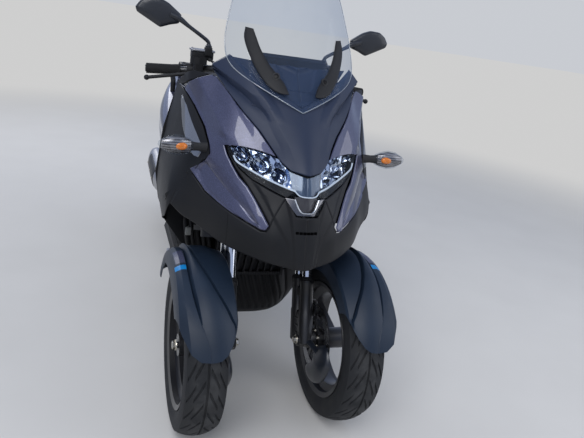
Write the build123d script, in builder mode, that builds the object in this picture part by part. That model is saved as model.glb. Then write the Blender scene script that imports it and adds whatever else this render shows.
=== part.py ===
from build123d import *
import math
import os

os.makedirs("parts", exist_ok=True)

# Overall sizes, in millimetres
front_overhang = 281
wheelbase = 1595
tail_gap = 98
front_track = 470
screen_top = 1470
rear_lift = 6
wall = 4
clearance = 0.3

# Steering geometry, the kingpins and the column share one lean-back angle
caster = 20
trail = 68
kingpin_x = 185
kingpin_radius = 14
steer_arm_x = 30
steer_arm_y = 60

# Wheels and tyres
front_tyre_radius = 262
front_tyre_width = 120
rear_tyre_radius = 276
rear_tyre_width = 140
rim_radius = 178
front_rim_width = 90
rear_rim_width = 104
tyre_wall = 11
axle_radius = 10
hub_radius = 34
spoke_pairs = 5
front_disc_radius = 116
rear_disc_radius = 108
disc_thickness = 4
disc_x = 66

# Fork legs, two tubes beside each front wheel
stanchion_radius = 17
stanchion_x = 128
stanchion_spacing = 72
slider_radius = 24
slider_bottom = 232
slider_top = 500
bracket_bottom = 598
bracket_top = 632

# Frame tubes
rail_radius = 16
rail_x = 70
seat_rail_x = 120
head_tube_radius = 28
column_radius = 13
head_bottom = 672
head_top = 920

# Reference planes, which start below the front axle; y is measured back from the datum
overall_length = front_overhang + wheelbase + rear_tyre_radius + tail_gap
front_axle_y = front_overhang - overall_length / 2
datum_y = front_axle_y
drawn_wheelbase = 1595
rear_shift = wheelbase - drawn_wheelbase
rear_axle_z = rear_tyre_radius + rear_lift
ground = Plane(origin=(0, datum_y, 0))
side_view = Plane(origin=(0, datum_y, 0), x_dir=(0, 1, 0), z_dir=(1, 0, 0))
front_view = Plane(origin=(0, datum_y, 0), x_dir=(1, 0, 0), z_dir=(0, -1, 0))
sides = (("left", 1), ("right", -1))


def cross_section(y):
    """Upright plane across the vehicle, y behind the front axle"""
    return front_view.offset(-y)


def kingpin_plane(x):
    """Plane square to a steering axis, its normal points up along the axis"""
    lean = math.radians(caster)
    origin = (x, datum_y - trail, 0)
    return Plane(origin=origin, x_dir=(1, 0, 0), z_dir=(0, math.sin(lean), math.cos(lean)))


def axle_plane(x, y, z):
    """Plane that holds an axle, its first axis runs along the axle"""
    return Plane(origin=(x, datum_y + y, z), x_dir=(1, 0, 0), z_dir=(0, -1, 0))


def strip(points, thickness):
    """Closed outline of a wall that lies to the left of a line of points"""
    shifted = []
    for number, point in enumerate(points):
        before = points[max(number - 1, 0)]
        after = points[min(number + 1, len(points) - 1)]
        turns = []
        for start, end in ((before, point), (point, after)):
            run = math.hypot(end[0] - start[0], end[1] - start[1])
            if run:
                turns.append((-(end[1] - start[1]) / run, (end[0] - start[0]) / run))
        across = [sum(turn[axis] for turn in turns) / len(turns) for axis in (0, 1)]
        reach = thickness / (across[0] ** 2 + across[1] ** 2)
        shifted.append((point[0] + across[0] * reach, point[1] + across[1] * reach))
    return points + shifted[::-1]


def both_sides(points):
    """Half outline in the +X half, completed with its mirror image"""
    return points + [(-x, y) for x, y in reversed(points) if x > 0]


def finish(piece, label):
    """Names a piece and writes it"""
    piece.part.label = label
    export_step(piece.part, f"parts/{label}.step")


# Tyres
def tyre_line(width, radius, rim_width, base, inset):
    """Closed section of a tyre about its own centre, inset from the outer face"""
    half = width / 2 - inset
    bead = rim_width / 2 - inset
    crown = radius - inset
    belt = base + (radius - base) * 0.5
    shoulder = base + (radius - base) * 0.8
    Polyline((bead, belt - (belt - base) * 0.55), (bead, base), (-bead, base), (-bead, belt - (belt - base) * 0.55))
    ThreePointArc((-bead, belt - (belt - base) * 0.55), (-half + 1, belt - 9), (-half, belt))
    Line((-half, belt), (-half * 0.93, shoulder))
    ThreePointArc((-half * 0.93, shoulder), (0, crown), (half * 0.93, shoulder))
    Line((half * 0.93, shoulder), (half, belt))
    ThreePointArc((half, belt), (half - 1, belt - 9), (bead, belt - (belt - base) * 0.55))


def make_tyre(plane, width, radius, rim_width, label):
    with BuildPart() as tyre:
        with BuildSketch(plane):
            with BuildLine():
                tyre_line(width, radius, rim_width, rim_radius, 0)
            make_face()
            with BuildLine():
                tyre_line(width, radius, rim_width, rim_radius, tyre_wall)
            make_face(mode=Mode.SUBTRACT)
        revolve(axis=Axis(plane.origin, plane.x_dir))
    finish(tyre, label)


# Wheels, cast with paired spokes, the brake disc on the side that disc_side names
def make_wheel(plane, rim_width, hub_width, disc_radius, disc_side, label):
    half = rim_width / 2
    well = rim_radius - 22
    with BuildPart() as wheel:
        with BuildSketch(plane):
            with BuildLine():
                Polyline(strip([(half + 4, rim_radius + 12), (half, rim_radius), (half - 18, rim_radius),
                                (half - 28, well), (-half + 28, well), (-half + 18, rim_radius),
                                (-half, rim_radius), (-half - 4, rim_radius + 12)], 5), close=True)
            make_face()
        revolve(axis=Axis(plane.origin, plane.x_dir))
        hub_end = Plane(origin=plane.origin, x_dir=(0, 1, 0), z_dir=(1, 0, 0))
        with BuildSketch(hub_end):
            Circle(hub_radius)
        extrude(amount=hub_width / 2, both=True)
        with BuildSketch(hub_end):
            with PolarLocations(0, spoke_pairs):
                for lean in (-1, 1):
                    with BuildLine():
                        Polyline((hub_radius - 4, lean * 2), (hub_radius - 4, lean * 20), (well, lean * 44),
                                 (well, lean * 26), close=True)
                    make_face()
        extrude(amount=13, both=True)
        disc_face = hub_end.offset(disc_side * disc_x - disc_thickness / 2)
        with BuildSketch(disc_face):
            Circle(disc_radius)
            Circle(disc_radius - 34, mode=Mode.SUBTRACT)
            with PolarLocations(disc_radius - 17, 15):
                Circle(5, mode=Mode.SUBTRACT)
        extrude(amount=disc_thickness)
        with BuildSketch(disc_face):
            Circle(hub_radius)
            with PolarLocations(0, 5):
                with Locations(((hub_radius + disc_radius - 30) / 2, 0)):
                    Rectangle(disc_radius - 30 - hub_radius + 8, 16)
        extrude(amount=disc_thickness)
        with BuildSketch(hub_end):
            Circle(hub_radius - 8)
        extrude(amount=disc_side * (disc_x + disc_thickness / 2))
        with BuildSketch(hub_end):
            Circle(axle_radius + clearance)
        extrude(amount=hub_width + disc_x, both=True, mode=Mode.SUBTRACT)
    finish(wheel, label)


wheel_x = front_track / 2
for side, sign in sides:
    hub = axle_plane(sign * wheel_x, 0, front_tyre_radius)
    make_tyre(hub, front_tyre_width, front_tyre_radius, front_rim_width, f"tyre_front_{side}")
    make_wheel(hub, front_rim_width, 90, front_disc_radius, -sign, f"wheel_front_{side}")
rear_hub = axle_plane(0, wheelbase, rear_axle_z)
make_tyre(rear_hub, rear_tyre_width, rear_tyre_radius, rear_rim_width, "tyre_rear")
make_wheel(rear_hub, rear_rim_width, 104, rear_disc_radius, -1, "wheel_rear")


# Fork legs
pin_bottom = bracket_top - 10
rod_bottom = bracket_top + 8
rod_height = 16
pin_top = rod_bottom + rod_height + 4
pin_radius = 6
tower_bottom = pin_top + 4
tower_top = 806
stub_top = tower_top + 10
half_spacing = stanchion_spacing / 2
for side, sign in sides:
    steer = kingpin_plane(sign * kingpin_x)
    leg_x = sign * (stanchion_x - kingpin_x)
    legs = [(leg_x, -half_spacing), (leg_x, half_spacing)]
    arm_pin = (sign * steer_arm_x, steer_arm_y)
    with BuildPart() as tubes:
        with BuildSketch(steer.offset(slider_top - 150)):
            with Locations(*legs):
                Circle(stanchion_radius)
        extrude(amount=bracket_top - slider_top + 150)
        with BuildSketch(steer.offset(bracket_bottom)):
            with Locations(*legs):
                Circle(slider_radius + 3)
            with Locations((0, 0)):
                Circle(32)
            make_hull()
        extrude(amount=bracket_top - bracket_bottom)
        with BuildSketch(steer.offset(pin_bottom - 6)):
            with Locations((0, 0)):
                Circle(20)
            with Locations(arm_pin):
                Circle(14)
            make_hull()
        extrude(amount=bracket_top - pin_bottom + 6)
        with BuildSketch(steer.offset(pin_bottom)):
            with Locations(arm_pin):
                Circle(pin_radius)
        extrude(amount=pin_top - pin_bottom)
        with BuildSketch(steer.offset(bracket_top)):
            Circle(kingpin_radius)
        extrude(amount=stub_top - bracket_top)
    finish(tubes, f"fork_tubes_{side}")

    axle = axle_plane(0, 0, front_tyre_radius)
    with BuildPart() as slider:
        with BuildSketch(steer.offset(slider_bottom)):
            with Locations(*legs):
                Circle(slider_radius)
        extrude(amount=slider_top - slider_bottom)
        with BuildSketch(steer.offset(slider_bottom)):
            with Locations(*legs):
                Circle(slider_radius)
            make_hull()
        extrude(amount=110)
        with BuildSketch(steer.offset(slider_top - 70)):
            with Locations(*legs):
                Circle(slider_radius - 4)
            make_hull()
        extrude(amount=34)
        with BuildSketch(steer.offset(slider_top - 150)):
            with Locations(*legs):
                Circle(stanchion_radius)
        extrude(amount=150, mode=Mode.SUBTRACT)
        axle_start = sign * (stanchion_x - 12)
        with BuildSketch(side_view.offset(axle_start)):
            with Locations((0, front_tyre_radius)):
                Circle(axle_radius)
        extrude(amount=sign * (wheel_x + 58) - axle_start)
        with BuildSketch(side_view.offset(sign * (stanchion_x + 8))):
            with Locations((0, front_tyre_radius)):
                Circle(30)
        extrude(amount=sign * (wheel_x - disc_x - 4 - stanchion_x - 8))
        with BuildSketch(side_view.offset(sign * (wheel_x + 46))):
            with Locations((0, front_tyre_radius)):
                RegularPolygon(16, 6)
        extrude(amount=sign * 16)
    finish(slider, f"fork_slider_{side}")


# Front fenders, a faceted arch with a raised spear along its crown
fender_front_angle = 25
fender_sweep = 128
fender_section = [(-75, 232), (-71, 281), (-20, 292), (6, 294), (20, 312), (40, 312), (52, 297), (71, 290), (79, 212)]
fender_tip_x = 12
fender_tip_z = 380
for side, sign in sides:
    angle = math.radians(fender_front_angle)
    start = Plane(origin=(sign * wheel_x, datum_y, front_tyre_radius), x_dir=(1, 0, 0),
                  z_dir=(0, -math.sin(angle), -math.cos(angle)))
    section = [(sign * x, radius) for x, radius in fender_section]
    with BuildPart() as fender:
        with BuildSketch(start):
            with BuildLine():
                Polyline(strip(section, -sign * wall), close=True)
            make_face()
        revolve(axis=Axis(start.origin, (-1, 0, 0)), revolution_arc=fender_sweep)
        with BuildSketch(cross_section(-180)):
            with BuildLine():
                tip = sign * (wheel_x + fender_tip_x)
                inner = sign * (wheel_x - 90)
                outer = sign * (wheel_x + 95)
                Polyline((tip, fender_tip_z), (inner, fender_tip_z + 62), (inner, 200), (outer, 200),
                         (outer, fender_tip_z + 46), close=True)
            make_face()
        extrude(amount=200, mode=Mode.SUBTRACT)
        stay_start = stanchion_x + slider_radius - 2
        with BuildSketch(side_view.offset(sign * stay_start)):
            with BuildLine():
                Polyline([(40, 400), (112, 400), (150, 500), (40, 520)], close=True)
            make_face()
        extrude(amount=sign * (wheel_x - 73 - stay_start))
        with BuildSketch(kingpin_plane(sign * kingpin_x).offset(slider_bottom)):
            with Locations((sign * (stanchion_x - kingpin_x), -half_spacing),
                           (sign * (stanchion_x - kingpin_x), half_spacing)):
                Circle(slider_radius)
        extrude(amount=slider_top - slider_bottom, mode=Mode.SUBTRACT)
    finish(fender, f"fender_{side}")


# Leaning parallelogram between the two fork towers
arm_levels = (694, 778)
arm_radius = 20
arm_thickness = 14
arm_gap = 50


def linkage_plane(x, level, forward):
    """Plane that faces forward, square to the steering axes"""
    base = kingpin_plane(x)
    lean = math.radians(caster)
    origin = base.from_local_coords((0, -forward, level))
    return Plane(origin=origin, x_dir=(1, 0, 0), z_dir=(0, -math.cos(lean), math.sin(lean)))


with BuildPart() as lean_linkage:
    for side, sign in sides:
        with BuildSketch(kingpin_plane(sign * kingpin_x).offset(tower_bottom)):
            Circle(kingpin_radius + 12)
        extrude(amount=tower_top - tower_bottom)
        for level in arm_levels:
            with BuildSketch(linkage_plane(sign * kingpin_x, level, 0)):
                Circle(arm_radius - 3)
            extrude(amount=arm_gap)
        with BuildSketch(kingpin_plane(sign * kingpin_x).offset(tower_bottom)):
            Circle(kingpin_radius + clearance)
        extrude(amount=tower_top - tower_bottom, mode=Mode.SUBTRACT)
    for level in arm_levels:
        with BuildSketch(linkage_plane(0, level, arm_gap)):
            for arm_x in (-kingpin_x, 0, kingpin_x):
                with Locations((arm_x, 0)):
                    Circle(arm_radius)
            make_hull()
            with Locations((-kingpin_x / 2, 0), (kingpin_x / 2, 0)):
                SlotOverall(kingpin_x - 70, arm_radius, mode=Mode.SUBTRACT)
        extrude(amount=arm_thickness)
        with BuildSketch(linkage_plane(0, level, arm_gap + arm_thickness)):
            with Locations((-kingpin_x, 0), (0, 0), (kingpin_x, 0)):
                RegularPolygon(12, 6)
        extrude(amount=8)
finish(lean_linkage, "lean_linkage")


# Tie rods, the fork pin and the column pin sit on equal arms
for side, sign in sides:
    near = steer_arm_x
    far = kingpin_x + steer_arm_x
    rod_base = kingpin_plane(0).offset(rod_bottom)
    eyes = [(sign * near, steer_arm_y), (sign * far, steer_arm_y)]
    with BuildPart() as tie_rod:
        with BuildSketch(rod_base):
            with Locations(*eyes):
                Circle(pin_radius + 7)
        extrude(amount=rod_height)
        rod_start = rod_base.from_local_coords((sign * near, steer_arm_y, rod_height / 2))
        with BuildSketch(Plane(origin=rod_start, x_dir=(0, 1, 0), z_dir=(sign, 0, 0))):
            Circle(rod_height / 2 - 1)
        extrude(amount=far - near)
        with BuildSketch(rod_base):
            with Locations(*eyes):
                Circle(pin_radius + clearance)
        extrude(amount=rod_height, mode=Mode.SUBTRACT)
    finish(tie_rod, f"tie_rod_{side}")


# Steering column
bar_z = 1062
bar_radius = 11.1
bar_y = bar_z * math.tan(math.radians(caster)) - trail
column_top = bar_z / math.cos(math.radians(caster)) - trail * math.sin(math.radians(caster))
column = kingpin_plane(0)
with BuildPart() as steering_column:
    with BuildSketch(column.offset(pin_bottom - 6)):
        with Locations((0, 0)):
            Circle(19)
        with Locations((-steer_arm_x, steer_arm_y), (steer_arm_x, steer_arm_y)):
            Circle(14)
        make_hull()
    extrude(amount=bracket_top - pin_bottom + 6)
    with BuildSketch(column.offset(bracket_top)):
        with Locations((-steer_arm_x, steer_arm_y), (steer_arm_x, steer_arm_y)):
            Circle(pin_radius)
    extrude(amount=pin_top - bracket_top)
    with BuildSketch(column.offset(bracket_top)):
        Circle(column_radius)
    extrude(amount=column_top - bracket_top)
    with BuildSketch(column.offset(head_top + 0.5)):
        Circle(head_tube_radius - 2)
    extrude(amount=12)
    with BuildSketch(column.offset(column_top - 34)):
        RectangleRounded(64, 46, 8)
    extrude(amount=54)
    with BuildSketch(side_view.offset(-60)):
        with Locations((bar_y, bar_z)):
            Circle(bar_radius)
    extrude(amount=120, mode=Mode.SUBTRACT)
finish(steering_column, "steering_column")


def tube(points, bends, radius):
    """Round bar along straight runs joined by bends"""
    with BuildLine(ground) as path:
        FilletPolyline(*points, radius=bends)
    with BuildSketch(Plane(origin=path.line @ 0, z_dir=path.line % 0)) as profile:
        Circle(radius)
    sweep(sections=profile.sketch, path=path.line)


# Handlebar
bar_bend_x = 78
elbow = (205, 412, 1038)
grip_start = (266, 439, 1024)
bar_end = (388, 452, 1015)
grip_radius = 16.5
with BuildPart() as handlebar:
    half_bar = [(bar_bend_x, bar_y, bar_z), elbow, grip_start, bar_end]
    tube([(-x, y, z) for x, y, z in reversed(half_bar)] + half_bar, [60, 60, 60, 60, 60, 60], bar_radius)
finish(handlebar, "handlebar")


def aim(start, end, sign, distance=0):
    """Plane at a distance along the run from start to end, facing along it"""
    first = Vector(sign * start[0], start[1] + datum_y, start[2])
    last = Vector(sign * end[0], end[1] + datum_y, end[2])
    along = (last - first).normalized()
    return Plane(origin=first + along * distance, x_dir=along.cross(Vector(0, 0, 1)), z_dir=along)


grip_run = math.dist(grip_start, bar_end)
for side, sign in sides:
    with BuildPart() as grip:
        with BuildSketch(aim(grip_start, bar_end, sign, 12)):
            Circle(grip_radius + 5)
            Circle(bar_radius, mode=Mode.SUBTRACT)
        extrude(amount=6)
        with BuildSketch(aim(grip_start, bar_end, sign, 12)):
            Circle(grip_radius)
            Circle(bar_radius, mode=Mode.SUBTRACT)
        extrude(amount=grip_run - 14)
    finish(grip, f"grip_{side}")

for side, sign in sides:
    if sign < 0:
        with BuildPart() as control_right:
            add(control.part.mirror(Plane.YZ))
        finish(control_right, "control_right")
        continue
    with BuildPart() as control:
        with BuildSketch(aim(elbow, grip_start, sign, 20)):
            Circle(22)
        extrude(amount=math.dist(elbow, grip_start) - 36)
        with BuildSketch(ground.offset(elbow[2] + 14)):
            with Locations((sign * (elbow[0] + 22), elbow[1] - 6)):
                Circle(27)
        extrude(amount=22)
        with BuildSketch(ground.offset(elbow[2] - 10)):
            with Locations((sign * (elbow[0] + 24), elbow[1] - 14)):
                RectangleRounded(30, 44, 6)
        extrude(amount=26)
        with BuildSketch(aim(elbow, grip_start, sign, -20)):
            Circle(bar_radius)
        extrude(amount=120, mode=Mode.SUBTRACT)
        tube([(sign * 228, 384, 1030), (sign * 262, 382, 1020), (sign * 386, 404, 992)], [40], 5.5)
        with Locations((sign * 386, datum_y + 404, 992)):
            Sphere(8.5)
    finish(control, f"control_{side}")

for side, sign in sides:
    mirror_outline = [(297, 1195), (352, 1229), (387, 1230), (433, 1202), (354, 1146), (300, 1163)]
    with BuildPart() as rear_mirror:
        tube([(sign * 214, 402, 1074), (sign * 214, 402, 1116), (sign * 300, 402, 1176), (sign * 345, 404, 1188)],
             [24, 40], 6)
        with BuildSketch(cross_section(400)):
            with BuildLine():
                Polyline([(sign * x, z) for x, z in mirror_outline], close=True)
            make_face()
        extrude(amount=-24)
    finish(rear_mirror, f"mirror_{side}")


# Frame, two rails from the head tube under the floor and up to the tail
rear_plane_y = 350
rail_y = rear_plane_y - rail_radius - clearance
cross_tubes = ((rail_y, 430, 70, 12), (700 + rear_shift, 300, 70, 12), (1005 + rear_shift, 384, 88, 14),
               (1470 + rear_shift, 659.3, 118, 12), (1700 + rear_shift, 729, 118, 12))
shock_top = (1510, 618)
shock_foot = (1590, 390)
shock_x = 118
stand_pivot = (930, 215)
with BuildPart() as frame:
    with BuildSketch(column.offset(head_bottom)):
        Circle(head_tube_radius)
    extrude(amount=head_top - head_bottom)
    for level in arm_levels:
        with BuildSketch(linkage_plane(0, level, 0)):
            Circle(arm_radius - 3)
        extrude(amount=arm_gap)
    for side, sign in sides:
        tube([(sign * 20, 209, 780), (sign * rail_x, rail_y, 650), (sign * rail_x, rail_y, 300),
              (sign * rail_x, 960 + rear_shift, 300), (sign * seat_rail_x, 1070 + rear_shift, 500),
              (sign * seat_rail_x, 1480 + rear_shift, 650), (sign * seat_rail_x, 1760 + rear_shift, 750)],
             [50, 45, 90, 90, 120], rail_radius)
        with BuildSketch(side_view.offset(sign * (shock_x + 14))):
            with Locations((shock_top[0] + rear_shift, shock_top[1])):
                Circle(14)
            with Locations((shock_top[0] + rear_shift, shock_top[1] + 44)):
                Circle(10)
            make_hull()
        extrude(amount=sign * 7)
        with BuildSketch(side_view.offset(sign * (shock_x - 13))):
            with Locations((shock_top[0] + rear_shift, shock_top[1])):
                Circle(7)
        extrude(amount=sign * 30)
    for tube_y, tube_z, reach, radius in cross_tubes:
        with BuildSketch(side_view.offset(-reach)):
            with Locations((tube_y, tube_z)):
                Circle(radius)
        extrude(amount=2 * reach)
    with BuildSketch(side_view.offset(rail_x)):
        with Locations((stand_pivot[0] + rear_shift, 300)):
            Circle(10)
    extrude(amount=34)
    with BuildSketch(side_view.offset(rail_x + 26)):
        with Locations((stand_pivot[0] + rear_shift, stand_pivot[1])):
            Circle(15)
        with Locations((stand_pivot[0] + rear_shift, 296)):
            Circle(15)
        make_hull()
    extrude(amount=8)
    with BuildSketch(side_view.offset(rail_x + 26)):
        with Locations((stand_pivot[0] + rear_shift, stand_pivot[1])):
            Circle(8)
    extrude(amount=30)
    with BuildSketch(column.offset(head_bottom)):
        Circle(column_radius + clearance)
    extrude(amount=head_top - head_bottom, mode=Mode.SUBTRACT)
finish(frame, "frame")


# Nose, a hollow form lofted through level sections, each a half outline from the nose back
nose_sections = (
    (500, [(0, -206), (40, -186), (108, -156), (185, -82), (255, 30), (298, 75), (316, 110), (290, 350)]),
    (600, [(0, -205), (40, -190), (110, -160), (190, -85), (262, 30), (312, 75), (335, 110), (331, 350)]),
    (700, [(0, -180), (45, -172), (98, -160), (188, -85), (259, 40), (310, 80), (340, 110), (345, 350)]),
    (850, [(0, -135), (50, -100), (98, -60), (178, -30), (250, 60), (290, 130), (310, 200), (330, 350)]),
    (1000, [(0, -5), (60, 5), (154, 50), (190, 90), (209, 130), (270, 190), (299, 215), (300, 350)]),
    (1112, [(0, 85), (60, 92), (126, 122), (180, 160), (220, 188), (255, 215), (285, 240), (285, 350)]),
)
chin = [(-320, 560), (-205, 611), (-60, 630), (60, 660), (110, 682), (180, 674), (260, 616), (350, 530), (370, 480),
        (-320, 480)]
shoulder = [(212, 1130), (212, 1052), (352, 1000), (380, 1000), (380, 1130)]


def nose_solid(inset):
    """The nose form, moved inwards by inset"""
    with BuildPart() as form:
        for level, half in nose_sections:
            with BuildSketch(ground.offset(level)):
                with BuildLine():
                    Polyline(both_sides(half), close=True)
                make_face()
                if inset:
                    offset(amount=-inset, kind=Kind.INTERSECTION)
        loft(ruled=True)
    return form.part


def front_prism(half):
    """Body behind a mirrored front outline, deep enough for the whole nose"""
    with BuildPart() as prism:
        with BuildSketch(cross_section(-300)):
            with BuildLine():
                Polyline(half, close=True)
            make_face()
            if half[0][0] == 0:
                mirror(about=Plane.YZ)
        extrude(amount=-300 - rear_plane_y + 20)
    return prism.part


with BuildPart() as nose_shell:
    add(nose_solid(0))
    add(nose_solid(wall), mode=Mode.SUBTRACT)
    with BuildSketch(side_view.offset(-400)):
        with BuildLine():
            Polyline(chin, close=True)
        make_face()
        with BuildLine():
            Polyline(shoulder, close=True)
        make_face()
    extrude(amount=800, mode=Mode.SUBTRACT)
    with BuildSketch(cross_section(rear_plane_y)):
        with Locations((0, 750)):
            Rectangle(800, 900)
    extrude(amount=-40, mode=Mode.SUBTRACT)
    with BuildSketch(cross_section(rear_plane_y - wall - 2)):
        with Locations((0, 700)):
            Rectangle(500, 800)
    extrude(amount=-40, mode=Mode.SUBTRACT)

hood_outline = [(0, 853), (45, 858), (68, 873), (76, 883), (118, 938), (166, 988), (213, 1050), (222, 1112), (0, 1008)]
lamp_outline = [(0, 752), (30, 752), (44, 774), (57, 793), (88, 802), (134, 818), (166, 838), (188, 866), (200, 889),
                (176, 899), (133, 893), (76, 883), (68, 873), (45, 858), (0, 853)]
cowl_outline = [(0, 1008), (222, 1112), (222, 1200), (0, 1200)]
flank_outline = [(98, 716), (114, 701), (188, 725), (246, 751), (283, 796), (249, 832), (235, 852), (237, 873),
                 (250, 919), (273, 964), (297, 999), (286, 1020), (256, 1036), (225, 1054), (213, 1050), (166, 988),
                 (118, 938), (76, 883), (133, 893), (176, 899), (200, 889), (194, 864), (180, 838), (166, 816),
                 (146, 798), (131, 775), (112, 742)]
hood_prism = front_prism(hood_outline)
lamp_prism = front_prism(lamp_outline)
cowl_prism = front_prism(cowl_outline)
flank_prism = front_prism(flank_outline)

with BuildPart() as front_hood:
    add(nose_shell.part)
    add(hood_prism, mode=Mode.INTERSECT)
finish(front_hood, "front_hood")

with BuildPart() as headlamp_lens:
    add(nose_shell.part)
    add(lamp_prism, mode=Mode.INTERSECT)
finish(headlamp_lens, "headlamp_lens")

lamp_depth = 46
with BuildPart() as headlamp_housing:
    add(nose_solid(wall))
    add(nose_solid(wall + lamp_depth), mode=Mode.SUBTRACT)
    add(lamp_prism, mode=Mode.INTERSECT)
    with BuildSketch(cross_section(120)):
        with Locations((0, 750)):
            Rectangle(900, 900)
    extrude(amount=-400, mode=Mode.SUBTRACT)
finish(headlamp_housing, "headlamp_housing")

for side, sign in sides:
    with BuildPart() as side_panel:
        add(nose_shell.part)
        if sign > 0:
            add(flank_prism, mode=Mode.INTERSECT)
        else:
            add(flank_prism.mirror(Plane.YZ), mode=Mode.INTERSECT)
    finish(side_panel, f"side_panel_{side}")

with BuildPart() as nose_cover:
    add(nose_shell.part)
    for opening in (hood_prism, lamp_prism, cowl_prism, flank_prism, flank_prism.mirror(Plane.YZ)):
        add(opening, mode=Mode.SUBTRACT)
finish(nose_cover, "nose_cover")

# Dash deck under the windscreen, open round the steering column
deck_z = 1000
with BuildPart() as deck_slab:
    add(nose_solid(wall))
    with BuildSketch(ground.offset(deck_z - wall)):
        Rectangle(900, 900)
    extrude(amount=wall, mode=Mode.INTERSECT)
    with BuildSketch(ground.offset(deck_z - wall)):
        with Locations((0, deck_z * math.tan(math.radians(caster)) - trail)):
            Circle(42)
    extrude(amount=wall, mode=Mode.SUBTRACT)
deck = deck_slab.part
with BuildPart() as dash_cowl:
    add(nose_shell.part)
    add(cowl_prism, mode=Mode.INTERSECT)
    add(deck)
finish(dash_cowl, "dash_cowl")


# Windscreen, a curved sheet through three arcs, and the two trims behind it
screen_thickness = 4
screen_levels = ((990, 175, -19, 53), (1230, 190, 143, 225), (screen_top + 6, 120, 309, 345))
screen_outline = [(0, 994), (150, 1064), (196, 1100), (192, 1185), (166, 1290), (128, 1400), (88, 1458),
                  (40, screen_top), (0, screen_top)]
trim_outline = [(58, 1052), (90, 1068), (118, 1120), (144, 1186), (122, 1192), (96, 1130)]


def screen_sheet(inset, thickness):
    """Part of the windscreen form between two depths behind its outer face"""
    with BuildPart() as sheet:
        for level, half_width, front_y, side_y in screen_levels:
            with BuildSketch(ground.offset(level)):
                with BuildLine():
                    outer = ThreePointArc((-half_width, side_y + inset), (0, front_y + inset),
                                          (half_width, side_y + inset))
                    inner = ThreePointArc((-half_width, side_y + inset + thickness),
                                          (0, front_y + inset + thickness), (half_width, side_y + inset + thickness))
                    Line(outer @ 0, inner @ 0)
                    Line(outer @ 1, inner @ 1)
                make_face()
        loft()
    return sheet.part


with BuildPart() as windscreen:
    add(screen_sheet(0, screen_thickness))
    with BuildSketch(cross_section(-300)):
        with BuildLine():
            Polyline(both_sides(screen_outline)[:-1], close=True)
        make_face()
    extrude(amount=-900, mode=Mode.INTERSECT)
finish(windscreen, "windscreen")

with BuildPart() as screen_trims:
    add(screen_sheet(screen_thickness, 5))
    with BuildSketch(cross_section(-300)):
        for side, sign in sides:
            with BuildLine():
                Polyline([(sign * x, z) for x, z in trim_outline], close=True)
            make_face()
    extrude(amount=-900, mode=Mode.INTERSECT)
    with BuildSketch(cross_section(58)):
        with Locations((-76, 1078), (76, 1078)):
            Circle(9)
    extrude(amount=-60)
    with BuildSketch(cross_section(-300)):
        with Locations((0, 1078)):
            Rectangle(400, 120)
    add(nose_solid(0), mode=Mode.SUBTRACT)
    add(screen_sheet(-300, 300 + screen_thickness), mode=Mode.SUBTRACT)
finish(screen_trims, "screen_trims")

# Turn indicators on short stalks beside the headlamps
stalk_base = (236, 60, 864)
stalk_end = (282, 50, 866)
lamp_end = (376, 42, 871)
for side, sign in sides:
    with BuildPart() as indicator:
        with BuildSketch(aim(stalk_base, lamp_end, sign)):
            Ellipse(9, 14)
        extrude(amount=math.dist(stalk_base, stalk_end) + 4)
        for near, far, first, second in ((46, 84, (12, 17), (21, 30)), (84, 122, (21, 30), (14, 21)),
                                         (122, 140, (14, 21), (4, 7))):
            with BuildSketch(aim(stalk_base, lamp_end, sign, near)):
                Ellipse(*first)
            with BuildSketch(aim(stalk_base, lamp_end, sign, far)):
                Ellipse(*second)
            loft(ruled=True)
        add(nose_solid(0), mode=Mode.SUBTRACT)
    finish(indicator, f"indicator_{side}")

# Leg shield, closes the nose from behind and carries the glove boxes
shield_half = [(0, 1000), (200, 1000), (290, 985), (303, 960), (330, 850), (345, 700), (331, 612), (304, 532),
               (222, 420), (186, 352), (60, 352), (60, 346), (0, 346)]
with BuildPart() as leg_shield:
    with BuildSketch(cross_section(rear_plane_y)):
        with BuildLine():
            Polyline(shield_half, close=True)
        make_face()
        mirror(about=Plane.YZ)
    extrude(amount=-wall - 1)
    with BuildSketch(cross_section(rear_plane_y + wall)):
        with Locations((-190, 800), (190, 800)):
            RectangleRounded(190, 250, 30)
    extrude(amount=-32, taper=12)
    with BuildSketch(cross_section(rear_plane_y + wall)):
        with Locations((0, 740)):
            RectangleRounded(160, 470, 40)
    extrude(amount=-54, taper=14)
    with BuildSketch(cross_section(rear_plane_y)):
        with Locations((0, 740)):
            RectangleRounded(130, 430, 30)
    extrude(amount=-44, taper=14, mode=Mode.SUBTRACT)
    with BuildSketch(cross_section(rear_plane_y)):
        with Locations((-190, 800), (190, 800)):
            RectangleRounded(176, 236, 26)
    extrude(amount=-26, taper=12, mode=Mode.SUBTRACT)
finish(leg_shield, "leg_shield")

# Instrument pod on the dash deck
pod_side = [(110, deck_z), (108, 1060), (140, 1122), (158, 1130), (244, 1076), (248, 1060), (238, deck_z)]
with BuildPart() as instrument_panel:
    with BuildSketch(side_view.offset(-104)):
        with BuildLine():
            Polyline(pod_side, close=True)
        make_face()
    extrude(amount=208)
    pod_face = Plane(origin=(0, datum_y + 201, 1103), x_dir=(1, 0, 0), z_dir=(0, 54, 86))
    with BuildSketch(pod_face.offset(8)):
        RectangleRounded(176, 82, 16)
    extrude(amount=-14, mode=Mode.SUBTRACT)
finish(instrument_panel, "instrument_panel")

# Floor with its centre tunnel, and the skirts below its edges
floor_y = rear_plane_y + wall + 1
riser_front = 836
floor_end = riser_front + rear_shift
floor_z = 346
tunnel_top = 500
floor_half_width = 236
floor_section = [(floor_half_width, floor_z), (104, floor_z), (84, tunnel_top), (-84, tunnel_top), (-104, floor_z),
                 (-floor_half_width, floor_z)]
with BuildPart() as floorboard:
    with BuildSketch(cross_section(floor_y)):
        with BuildLine():
            Polyline(strip(floor_section, wall + 1), close=True)
        make_face()
    extrude(amount=floor_y - floor_end)
finish(floorboard, "floorboard")

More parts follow.
